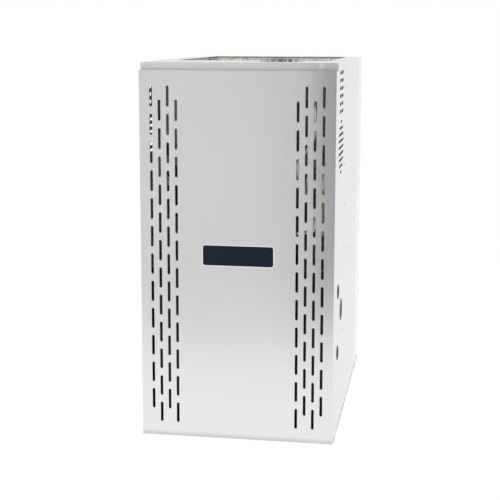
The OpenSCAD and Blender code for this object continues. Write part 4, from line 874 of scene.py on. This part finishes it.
# ---- Gas train ---------------------------------------------------------------------
# Black iron manifold with brass jets, fed by a cast aluminium valve with a solenoid coil, a
# regulator tower, hex plugs and an on/off knob. The inlet boss takes a half-inch pipe.
dress(finish("black_iron", (0.035, 0.034, 0.033), 0.55, metal=0.3, vary=0.25, grain=600, relief=0.05,
             mottle=30, worn=(0.25, 0.22, 0.19), dusty=0.35), "gas_manifold")
brass = finish("turned_brass", (0.78, 0.55, 0.22), 0.24, metal=1.0, vary=0.08, grain=2500, mottle=70,
               worn=(0.9, 0.72, 0.4))
dress(brass, "gas_orifices")
cast_grey = finish("cast_aluminium", (0.60, 0.61, 0.61), 0.45, metal=0.85, vary=0.06, grain=500, relief=0.08,
                   mottle=25, worn=0.80, dusty=0.2)
grey_paint = finish("valve_grey", (0.30, 0.31, 0.32), 0.45, vary=0.06, grain=1200, dusty=0.2)
red_cap = finish("red_nylon", (0.62, 0.022, 0.018), 0.38, vary=0.06, grain=1500, relief=0.01, dusty=0.12)
white_nylon = finish("white_nylon", (0.74, 0.73, 0.69), 0.42, vary=0.04, grain=1500, relief=0.01, dusty=0.12,
                     worn=(0.6, 0.58, 0.53))


def hexagon(shape, origin, axis, flats, height, paint):
    """A hexagon of that width across flats, its far face chamfered."""
    r = flats / math.sqrt(3)
    turned(shape, [(0, 0), (r, 0), (r, height - r * 0.08), (r * 0.87, height), (0, height)],
           origin, axis, 6, paint)


def pan_screw(shape, origin, axis, d, paint, turn_by):
    """A pan-head screw with a cross recess in the next paint, its underside at origin."""
    r = d / 2
    turned(shape, [(r, 0), (r, r * 0.25), (r * 0.82, r * 0.52), (r * 0.4, r * 0.66), (0, r * 0.68)],
           origin, axis, 20, paint)
    axis, u, v = across(axis)
    middle = Vector(origin) + axis * r * 0.52
    # the cross recess takes the next paint, the painted shade of a recess
    for a in (turn_by, turn_by + math.pi / 2):
        long_way = around(a, u, v)
        slab(shape, middle - Vector((r * 0.55, r * 0.1, r * 0.1)),
             middle + Vector((r * 0.55, r * 0.1, r * 0.18)), 0.05, paint + 1,
             turn=Matrix((long_way, axis.cross(long_way), axis)).transposed())


def slabs(shape, *rows):
    """Several blocks, each as its low corner, its high corner, its rounding, paint and steps."""
    for row in rows:
        slab(shape, *row)


def fluted(shape, hub, rim, levels):
    """A moulded disc that looks forward: the radii round its rim, then (share of them, height)."""
    rings = []
    for share, lift in levels:
        rings.append([shape.verts.new(hub + outward(a) * r * share + Vector((0, -lift, 0)))
                      for a, r in zip(round_about(len(rim)), rim if share else rim[:1])])
    for p, q in zip(rings, rings[1:]):
        band(shape, p, q)


valve = bmesh.new()
slabs(valve, ((-190, 21, 582), (-125, 69, 648), 3.0, 0, 3), ((-187, 15.6, 588), (-128, 23, 642), 1.5, 0, 2),
      ((-188, 67, 586), (-128, 73, 644), 1.5, 0, 2), ((-189, 19, 646), (-126, 70, 652), 1.2, 3, 2),
      ((-186, 34, 653), (-184, 50, 678), 0.4, 1), ((-156, 34, 653), (-154.4, 50, 678), 0.4, 1))
for x in (8.5, 57.5):
    for z in (11, 55):
        pan_screw(valve, (x - 191, 15.7, z + 582), FORWARD, 6.6, 1, (x * 90 + z) / 1000)
turned(valve, [(0, -4), (15.3, -4), (15.3, 9.2), (14.3, 10), (11.2, 10), (10.6, -2), (0, -2)],
       (-191, 42, 617), (-1, 0, 0), 40)
turned(valve, [(0, -3), (14.2, -3), (14.2, 1), (13.2, 3), (13.6, 4), (14, 5), (14, 24), (13.6, 25),
               (12.6, 26), (11.8, 29.7), (6, 30), (0, 30)], (-170, 42, 652), (0, 0, 1), 40, 4)
turned(valve, [(0, -2), (9, -2), (9, 11), (8.4, 11.8), (7.8, 12), (7.8, 19.5), (6.8, 20), (2.8, 20),
               (2.4, 18.5), (0, 18.5)], (-138, 42, 652), (0, 0, 1), 36, 1)
for x, z, flats in ((-180, 590, 9.5), (-136, 590, 9.5), (-136, 636, 8)):
    hexagon(valve, (x, 15.5, z), FORWARD, flats, 3.6, 5)
for x in (-183, -177):
    slab(valve, (x - 0.4, 26, 650), (x + 0.4, 31, 659), 0.2, 6)
new_piece("gas_valve_cast", valve,
          [cast_grey, screw_zinc, recess_painted_shade, grey_paint, black_nylon, brass, terminal_tin],
          "gas_valve", sharp=32)

knob = bmesh.new()
hub = Vector((-152, 10.4, 617))
front = room("gas_valve_knob")[0].y
fluted(knob, hub, [14.5 if k % 5 in (0, 1) else 15.0 for k in range(60)],
       [(0.90, 0), (1.0, 0.7), (1.0, 4.6), (0.93, 5.8), (0.62, 6.0), (0, 6.0)])
slabs(knob, ((hub.x - 3, front, hub.z - 12.5), (hub.x + 3, hub.y - 5.5, hub.z + 12.5), 1.6, 0, 3),
      ((hub.x - 0.6, front - 0.05, hub.z + 4), (hub.x + 0.6, front + 0.4, hub.z + 11.5), 0.1, 1))
new_piece("valve_knob_moulded", knob, [black_nylon, white_nylon], "gas_valve_knob",
          "valve_knob", 40)

# ---- Igniter, flame sensor and switches --------------------------------------------
# The hot-surface igniter and the flame rod sit in white ceramic at the ends of the burner row.
# The disc thermostats are metal caps with two blades; two of them have red reset buttons.
dress(finish("white_ceramic", (0.80, 0.78, 0.72), 0.55, relief=0.04, dusty=0.15), "igniter", "flame_sensor")
dress(galvanised("cap_metal", (0.62, 0.62, 0.60), 0.28, 300, 0.15), "disc_thermostats")
dress(red_cap, "reset_button_left", "reset_button_right")
grey_mould = finish("switch_mould", (0.09, 0.095, 0.10), 0.42, vary=0.1, grain=1500, relief=0.01, dusty=0.2)
hub = Vector((-155, 171, 792))
switch = bmesh.new()
turned(switch, [(0, 0), (25.5, 0), (26, 2), (26, 6.5), (32.2, 7), (33, 8), (33, 20), (32.2, 20.8),
                (26.2, 21.2), (25.8, 27.8), (24, 29), (11, 29), (9, 28.4), (5.2, 28.4), (4.6, 30),
                (2.4, 30.2), (2.4, 33), (3, 33.2), (2.4, 35.2), (3, 35.6), (2.4, 37.6), (3, 38), (2.2, 40.5),
                (1.2, 41), (0, 41)], hub, FORWARD, 56)
for a in round_about(8, 0.2):
    pan_screw(switch, hub + outward(a) * 29.3 + Vector((0, -20.6, 0)), FORWARD, 4.2, 1, a)
slabs(switch, *((hub + Vector((x - 0.4, -28.6, -20)), hub + Vector((x + 0.4, -37.1, -14.5)), 0.2, 3)
                for x in (-10, 10)),
      ((-169, 171.5, 768), (-141, 172.7, 816), 0.4, 4), ((-169, 171.5, 766.5), (-141, 189.6, 768), 0.4, 4),
      ((-169, 171.5, 816), (-141, 189.6, 817.5), 0.4, 4))
new_piece("diaphragm_switch", switch, [grey_mould, screw_zinc, recess_painted_shade, terminal_tin, bare_zinc],
          "pressure_switch", sharp=32)

# ---- Circulating air blower --------------------------------------------------------
# A forward-curved squirrel-cage wheel turns in a galvanised scroll held on two rails. The
# four-speed motor hangs in the inlet on a band with three arms; its run capacitor is strapped
# to the scroll's side.
dress(bare_zinc, "blower_wrap", "blower_cheeks", "blower_rails")
dress(galvanised("mount_zinc", (0.58, 0.59, 0.60), 0.36, 180), "motor_mount")
dress(galvanised("wheel_zinc", (0.60, 0.61, 0.62), 0.34, 220, 0.35), "blower_wheel")
dress(turned_steel, "blower_shaft")

low, high = room("blower_motor")
hub = Vector((low.x, (low.y + high.y) / 2, (low.z + high.z) / 2))
R = (high.y - low.y) / 2
L = high.x - low.x
fan_motor = bmesh.new()
turned(fan_motor, [(11, 0), (21.5, 0), (22, 0.6), (22, 3.8), (R - 12, 4.2), (R - 8.5, 5.2), (R - 0.8, 13.8),
                   (R - 0.2, 15), (R - 0.2, 30), (R - 1, 30.6), (R - 1, L - 30), (R - 0.2, L - 29.4),
                   (R - 0.2, L - 13.5), (R - 1.2, L - 12.2), (R - 8.5, L - 5), (R - 12, L - 4.2), (22, L - 4),
                   (22, L - 0.6), (21.3, L), (4, L), (4, L - 3), (11, L - 3), (11, 0)], hub, (1, 0, 0), 72)
for end, way in ((4.6, -1), (L - 4.6, 1)):
    # thin near-black pads on each end bell stand for its vent slots: painted shade, not openings
    for a in round_about(12):
        middle = hub + Vector((end + way * 0.6, -math.sin(a) * (R - 23.5), math.cos(a) * (R - 23.5)))
        lump(fan_motor, middle, (0.6, 4.2, 9), 0.4, 1, turn=Matrix.Rotation(a, 3, "X"))
    for a in round_about(4, 0.4):
        bolt = hub + Vector((end - way, math.cos(a) * (R - 14.5), math.sin(a) * (R - 14.5)))
        hexagon(fan_motor, bolt, (way, 0, 0), 5.8, 2.6, 2)
        tube(fan_motor, [bolt, bolt + Vector((way * 3.6, 0, 0))], 1.4, 10, 2)
new_piece("blower_motor_shell", fan_motor, [motor_black, recess_painted_shade, screw_zinc],
          "blower_motor", sharp=28)

can_steel = finish("can_aluminium", 0.66, 0.24, metal=0.95, mottle=30, dusty=0.2)
low, high = room("run_capacitor")
hub = Vector((low.x + 22, (low.y + high.y) / 2, low.z))
strap = hub + Vector((0, 0, 20))
can = bmesh.new()
turned(can, [(0, 0), (18.5, 0), (20, 1.5), (20, 53), (19.7, 54.5), (20, 55.2), (19.4, 56), (18, 55.2),
             (17.4, 54.6), (0, 54.6)], hub, (0, 0, 1), 44)
turned(can, [(0, 54), (15, 54), (15, 56), (14, 56.6), (0, 56.6)], hub, (0, 0, 1), 32, 1)
for y in (-8, 8):
    slab(can, hub + Vector((-3.1, y - 0.4, 56)), hub + Vector((3.1, y + 0.4, 64.8)), 0.3, 2)
turned(can, [(20.2, 0), (21.6, 0.2), (21.8, 3), (21.2, 4), (21.2, 10), (21.8, 11), (21.6, 13.8), (20.2, 14)],
       strap, (0, 0, 1), 44, 3)
slab(can, strap + Vector((20.5, -10, 0)), (high.x, hub.y + 10, strap.z + 14), 0.8, 3)
new_piece("capacitor_can", can, [can_steel, black_nylon, terminal_tin, bare_zinc],
          "run_capacitor", sharp=30)

# ---- Controls ----------------------------------------------------------------------
# The circuit board hangs from the deck on a bracket: relays, a ribbon of terminals, a
# processor and a connector. Beside it stand the low-voltage transformer and the mains
# junction box, and at the left the switch that cuts the power when the inner door is off.
fibre_green = finish("circuit_board", (0.018, 0.115, 0.040), 0.30, vary=0.08, mottle=30, coat=0.3)
tree = fibre_green.node_tree
tracks = node(tree, "TexBrick", {
    "Vector": on_piece(tree), "Scale": 90.0, "Mortar Size": 0.02, "Mortar": (0.015, 0.095, 0.03, 1),
    "Color1": (0.03, 0.19, 0.07, 1), "Color2": (0.02, 0.13, 0.045, 1)}, "Color")
recolour(fibre_green, 0.55, tracks)
RELAY = dict(grain=2200, relief=0.006, dusty=0.15)
relay_black = finish("relay_case", (0.020, 0.021, 0.024), 0.26, vary=0.1, **RELAY)
relay_blue = finish("relay_blue", (0.02, 0.09, 0.32), 0.28, vary=0.08, **RELAY)
solder = finish("solder_tin", 0.70, 0.25, metal=1.0, vary=0.1, mottle=200)
fuse_violet = finish("fuse_plastic", (0.36, 0.05, 0.42), 0.25, grain=1500)
BOARD_X0, BOARD_X1, BOARD_Y, BOARD_Z0, BOARD_Z1 = -160, 20, 100, 250, 380
ZINC, NYLON, SCREW, BLACK, BLUE, CASE, WHITE, TIN, SOLDER, VIOLET, RED = 1, 2, 3, 5, 6, 7, 8, 9, 10, 11, 12
board = bmesh.new()


def brick(x, z, width, height, low_lift, lift, paint, round_by=0.2, steps=1):
    """A block on the board, its corner counted from the board's, standing off it by lift."""
    slab(board, (BOARD_X0 + x, BOARD_Y - lift, BOARD_Z0 + z),
         (BOARD_X0 + x + width, BOARD_Y - low_lift, BOARD_Z0 + z + height), round_by, paint, steps)


def on_board(profile, x, z, steps, paint, y=BOARD_Y):
    """A round part that stands on the board."""
    turned(board, profile, (BOARD_X0 + x, y, BOARD_Z0 + z), FORWARD, steps, paint)


slabs(board, ((BOARD_X0, BOARD_Y, BOARD_Z0), (BOARD_X1, BOARD_Y + 1.6, BOARD_Z1), 0.2),
      ((BOARD_X0 - 8, 114, BOARD_Z0 - 6), (BOARD_X1 + 8, 115, 399.4), 0.3, ZINC),
      ((BOARD_X0 - 8, 114, 398.6), (BOARD_X1 + 8, 133.6, 399.6), 0.3, ZINC))
for x in (6, 174):
    for z in (6, 124):
        on_board([(0, 0), (3, 0), (3, 12.2), (0, 12.2)], x, z, 14, NYLON, 114.2)
        pan_screw(board, (BOARD_X0 + x, BOARD_Y, BOARD_Z0 + z), FORWARD, 5.8, SCREW, (BOARD_X0 + x) * 0.7)
for x, z, case in ((20, 30, BLACK), (20, 62, BLUE), (50, 30, BLACK), (80, 30, BLACK)):
    brick(x, z, 22, 24, 0.1, 17.8, case, 1.0, 3)
    brick(x + 8, z + 10, 6, 4, 17.7, 18.0, CASE, 0.1)
brick(110, 10, 60, 10, 0.1, 8.0, WHITE, 0.4)
for k in range(12):
    brick(112.4 + 4.9 * k, 11.5, 2.6, 7, 7.6, 12.0 if k % 3 else 10.5, TIN if k % 3 else WHITE)
brick(122, 82, 36, 28, 0.1, 3.0, BLACK, 0.5)
for k in range(14):
    brick(123 + 2.5 * k, 79.2, 1.2, 33.6, 0.1, 0.9, SOLDER)
on_board([(0, 0), (8, 0), (7.6, 1.6), (8, 2.8), (8, 22.6), (7.6, 23.6), (7, 24), (6.2, 23.4), (0, 23.4)],
         60, 100, 32, BLACK)
for k in range(5):
    brick(40 + 12 * k, 112, 8, 6, 0.1, 3.2, WHITE, 0.3)
    brick(43.6 + 12 * k, 112.6, 0.8, 4.8, 3.0, 8.0, TIN, 0.1)
brick(106, 112, 6, 14, 0.1, 6.5, VIOLET, 0.5, 2)
for k in range(16):
    x, z = 10 + (k * 37) % 96, 8 + (k * 23) % 18 if k < 10 else 92 + (k * 13) % 16
    brick(x, z, 3.4, 1.7, 0.05, 1.1, BLACK if k % 3 else WHITE)
for x, z in ((118, 40), (126, 40), (134, 40), (118, 52), (126, 52)):
    on_board([(0, 0), (2.8, 0), (2.8, 7.2), (2.4, 7.8), (0, 7.8)], x, z, 18, BLUE if z > 45 else BLACK)
for x in (146, 152):
    on_board([(0, 0), (1.6, 0), (1.6, 3), (1, 4.4), (0, 4.8)], x, 52, 14, RED)
new_piece("control_circuit", board,
          [fibre_green, bare_zinc, white_nylon, screw_zinc, recess_painted_shade, relay_black, relay_blue, relay_black,
           white_nylon, terminal_tin, solder, fuse_violet, red_cap],
          "control_board", sharp=32)

laminated = lined(finish("laminated_core", (0.16, 0.16, 0.17), 0.42, metal=0.75, vary=0.12, mottle=30,
                         dusty=0.3), 330.0, "Y", 0.4)
winding_tape = finish("winding_tape", (0.50, 0.38, 0.12), 0.42, vary=0.1, grain=700, relief=0.06, mottle=60,
                      dusty=0.2)
core = bmesh.new()
slabs(core, ((44, 82, 308), (102, 122, 358), 0.8, 0, 2),
      ((56.5, 74.2, 316.5), (89.5, 129.8, 349.5), 5.0, 1, 4), ((43, 84, 307), (45, 120, 359), 0.5, 2),
      ((101, 84, 307), (103, 120, 359), 0.5, 2), ((43, 84, 357.5), (103, 120, 359), 0.5, 2),
      ((38, 130, 300), (108, 131.3, 399.6), 0.5, 2),
      *(((61 + 7 * k, 74.5, 352), (61.8 + 7 * k, 80, 357), 0.2, 4) for k in range(4)))
for x in (49, 97):
    for z in (313, 353):
        hexagon(core, (x, 82, z), FORWARD, 6, 3, 3)
new_piece("low_voltage_transformer", core, [laminated, winding_tape, bare_zinc, screw_zinc, terminal_tin],
          "transformer")
mains_box = bmesh.new()
slabs(mains_box, ((165.85, 28, 310), (221.05, 96, 386), 0.8, 0, 2),
      ((163.85, 25.1, 307.1), (166.05, 98.9, 388.9), 0.8, 0, 2))
for y, z in ((34, 316), (90, 380)):
    pan_screw(mains_box, (163.9, y, z), (-1, 0, 0), 6.2, 1, y)
for z in (330, 366):
    turned(mains_box, [(11.2, 0), (11.2, 0.3), (10.6, 0.3), (10.6, 0)], (190, 28, z), FORWARD, 32)
new_piece("mains_junction_box", mains_box, [bare_zinc, screw_zinc, recess_painted_shade], "junction_box")
interlock = bmesh.new()
slabs(interlock, ((-179.65, 40, 317), (-155.65, 44, 335), 1.2, 0, 2),
      ((-178.6, 43.5, 317.6), (-156.7, 65.8, 334.4), 1.0, 0, 2),
      ((-179.65, 66, 317), (-155.65, 67.4, 399.6), 0.4, 1),
      *(((-170, 65.8, z - 0.4), (-165, 65.99, z + 0.4), 0.1, 4) for z in (321, 326, 331)))
turned(interlock, [(4.4, 0), (6.8, 0), (6.6, 0.9), (5, 1.2), (4.4, 1)], (-167.65, 40, 326), FORWARD, 28)
for x in (-176, -159.3):
    pan_screw(interlock, (x, 40, 320.6), FORWARD, 4.0, 2, x)
new_piece("door_interlock", interlock, [black_nylon, bare_zinc, screw_zinc, recess_painted_shade, terminal_tin],
          "door_switch")
low, high = room("switch_plunger")
L = high.y - low.y
button = bmesh.new()
turned(button, [(0, 0), (3, 0), (3.7, 0.6), (4, 1.6), (4, L), (0, L)],
       ((low.x + high.x) / 2, low.y, (low.z + high.z) / 2), (0, 1, 0), 28)
new_piece("interlock_plunger", button, [white_nylon], "switch_plunger", "plunger")

# ---- Inner door --------------------------------------------------------------------
# A sheet door closes the blower room and keeps its air apart from the burners'. Its near-black coat is
# painted shade, so that the front door's slots look into darkness.
# It seals on foam tape, hooks over the deck and is held by two quarter-turn knobs, each a
# moulded grip on a turning tongue; a round glass lets the board's light be seen.
dress(finish("inner_door_painted_shade", (0.028, 0.029, 0.032), 0.40, vary=0.12, grain=1300, relief=0.03, mottle=10,
             worn=0.35, worn_amount=0.5, dusty=0.2), "blower_door")
dress(finish("foam_tape", (0.06, 0.06, 0.062), 0.95, vary=0.2, grain=520, relief=0.3), "blower_door_gasket")
glass = finish("sight_glass_clear", (0.92, 0.95, 0.94), 0.05, vary=0.01, grain=40, relief=0.0, mottle=30,
               rough_vary=0.02)
set_skin(glass, "Transmission Weight", 0.92)
dress(glass, "sight_glass")
for name, x in (("left", -183.65), ("right", 183.65)):
    low, high = room(f"door_knob_{name}")
    hub = Vector((x, 22.4, 350))
    grip = bmesh.new()
    fluted(grip, hub, [13.0 if k % 4 else 12.4 for k in range(48)],
           [(0.86, 0), (1.0, 0.6), (1.0, 7.2), (0.95, 8.4), (0.86, 9), (0, 9)])
    slabs(grip, ((x - 3.4, low.y, hub.z - 11.8), (x + 3.4, hub.y - 8.6, hub.z + 11.8), 1.8, 0, 3),
          ((x - 5.5, high.y - 3, hub.z - 7), (x + 5.5, high.y, high.z), 1.2, 1, 2))
    tube(grip, [hub + Vector((0, -1, 0)), Vector((x, high.y - 0.4, hub.z))], 4.2, 20, 1)
    new_piece(f"{name}_quarter_turn", grip, [black_nylon, bare_zinc], f"door_knob_{name}",
              f"{name}_knob", 40)

# ---- Front door --------------------------------------------------------------------
# One pressed sheet, folded at its sides, with its columns of cooling slots punched through.
# The coating is a smooth satin silver-grey; the wide flat face bows a little at its side folds.
DOOR_GRAIN = 0.002
door_paint = cabinet_enamel("door_enamel", metal=0.67, rough=0.31)
tree = door_paint.node_tree
along = axes(tree)
near_fold = stretch(tree, node(tree, "Math", {0: along["X"]}, operation="ABSOLUTE"), 0.158, 0.222)
bow = reckon(tree, reckon(tree, near_fold, 2.0, "POWER"), -0.0042)
# the pressed sheet is a touch uneven over its height, as thin doors are
wavy = reckon(tree, cloud(tree, 2.2, 1.0), 0.0007)
press(door_paint, reckon(tree, bow, wavy, "ADD"), DOOR_GRAIN)
# its turned-in bottom hem is painted darker over the last centimetre: painted shade along the hem
hem_painted_shade = stretch(tree, along["Z"], 0.003, 0.017, 0.74, 1.0)
hem_painted_shade.node.interpolation_type = "SMOOTHSTEP"
recolour(door_paint, 1.0, hem_painted_shade, "MULTIPLY")
dress(door_paint, "front_door")
dress(white_nylon, "door_clips")
dress(screw_zinc, "door_studs")

# ---- Badge plate -------------------------------------------------------------------
# A thin blank plate in dark blue with a pale border, its corners rounded, riveted flat to the
# door. Its face lies a little lower than its border.
badge_blue = finish("badge_blue", (0.0030, 0.0090, 0.022), 0.32, vary=0.04, grain=1800, relief=0.004,
                    rough_vary=0.02)
set_skin(badge_blue, "Specular IOR Level", 0.22)
badge_rim = finish("badge_rim", (0.90, 0.91, 0.92), 0.34, metal=0.15, vary=0.02, grain=1800, relief=0.006)
CORNER_R, CORNER_STEPS, BORDER_LAYERS = 7, 8, 4
low, high = room("badge_plate")
middle, half = (low + high) / 2, (high - low) / 2
badge = bmesh.new()
layers = []
for inset, y in ((0, high.y), (0, low.y + 0.3), (0.3, low.y), (1.2, low.y), (1.4, low.y + 0.22),
                 (1.8, low.y + 0.22)):
    corner = CORNER_R - inset
    outline = []
    for cx, cz, start in ((1, 1, 0), (-1, 1, 90), (-1, -1, 180), (1, -1, 270)):
        for k in range(CORNER_STEPS + 1):
            a = math.radians(start + 90 * k / CORNER_STEPS)
            x = middle.x + cx * (half.x - inset - corner) + corner * math.cos(a)
            z = middle.z + cz * (half.z - inset - corner) + corner * math.sin(a)
            outline.append(badge.verts.new((x, y, z)))
    layers.append(outline)
for number, (p, q) in enumerate(zip(layers, layers[1:])):
    band(badge, p, q, 1 if number < BORDER_LAYERS else 0)
badge.faces.new(layers[-1]).material_index = 0
badge.faces.new(layers[0][::-1]).material_index = 1
new_piece("blank_badge", badge, [badge_blue, badge_rim], "badge_plate", "outer_door", 25)
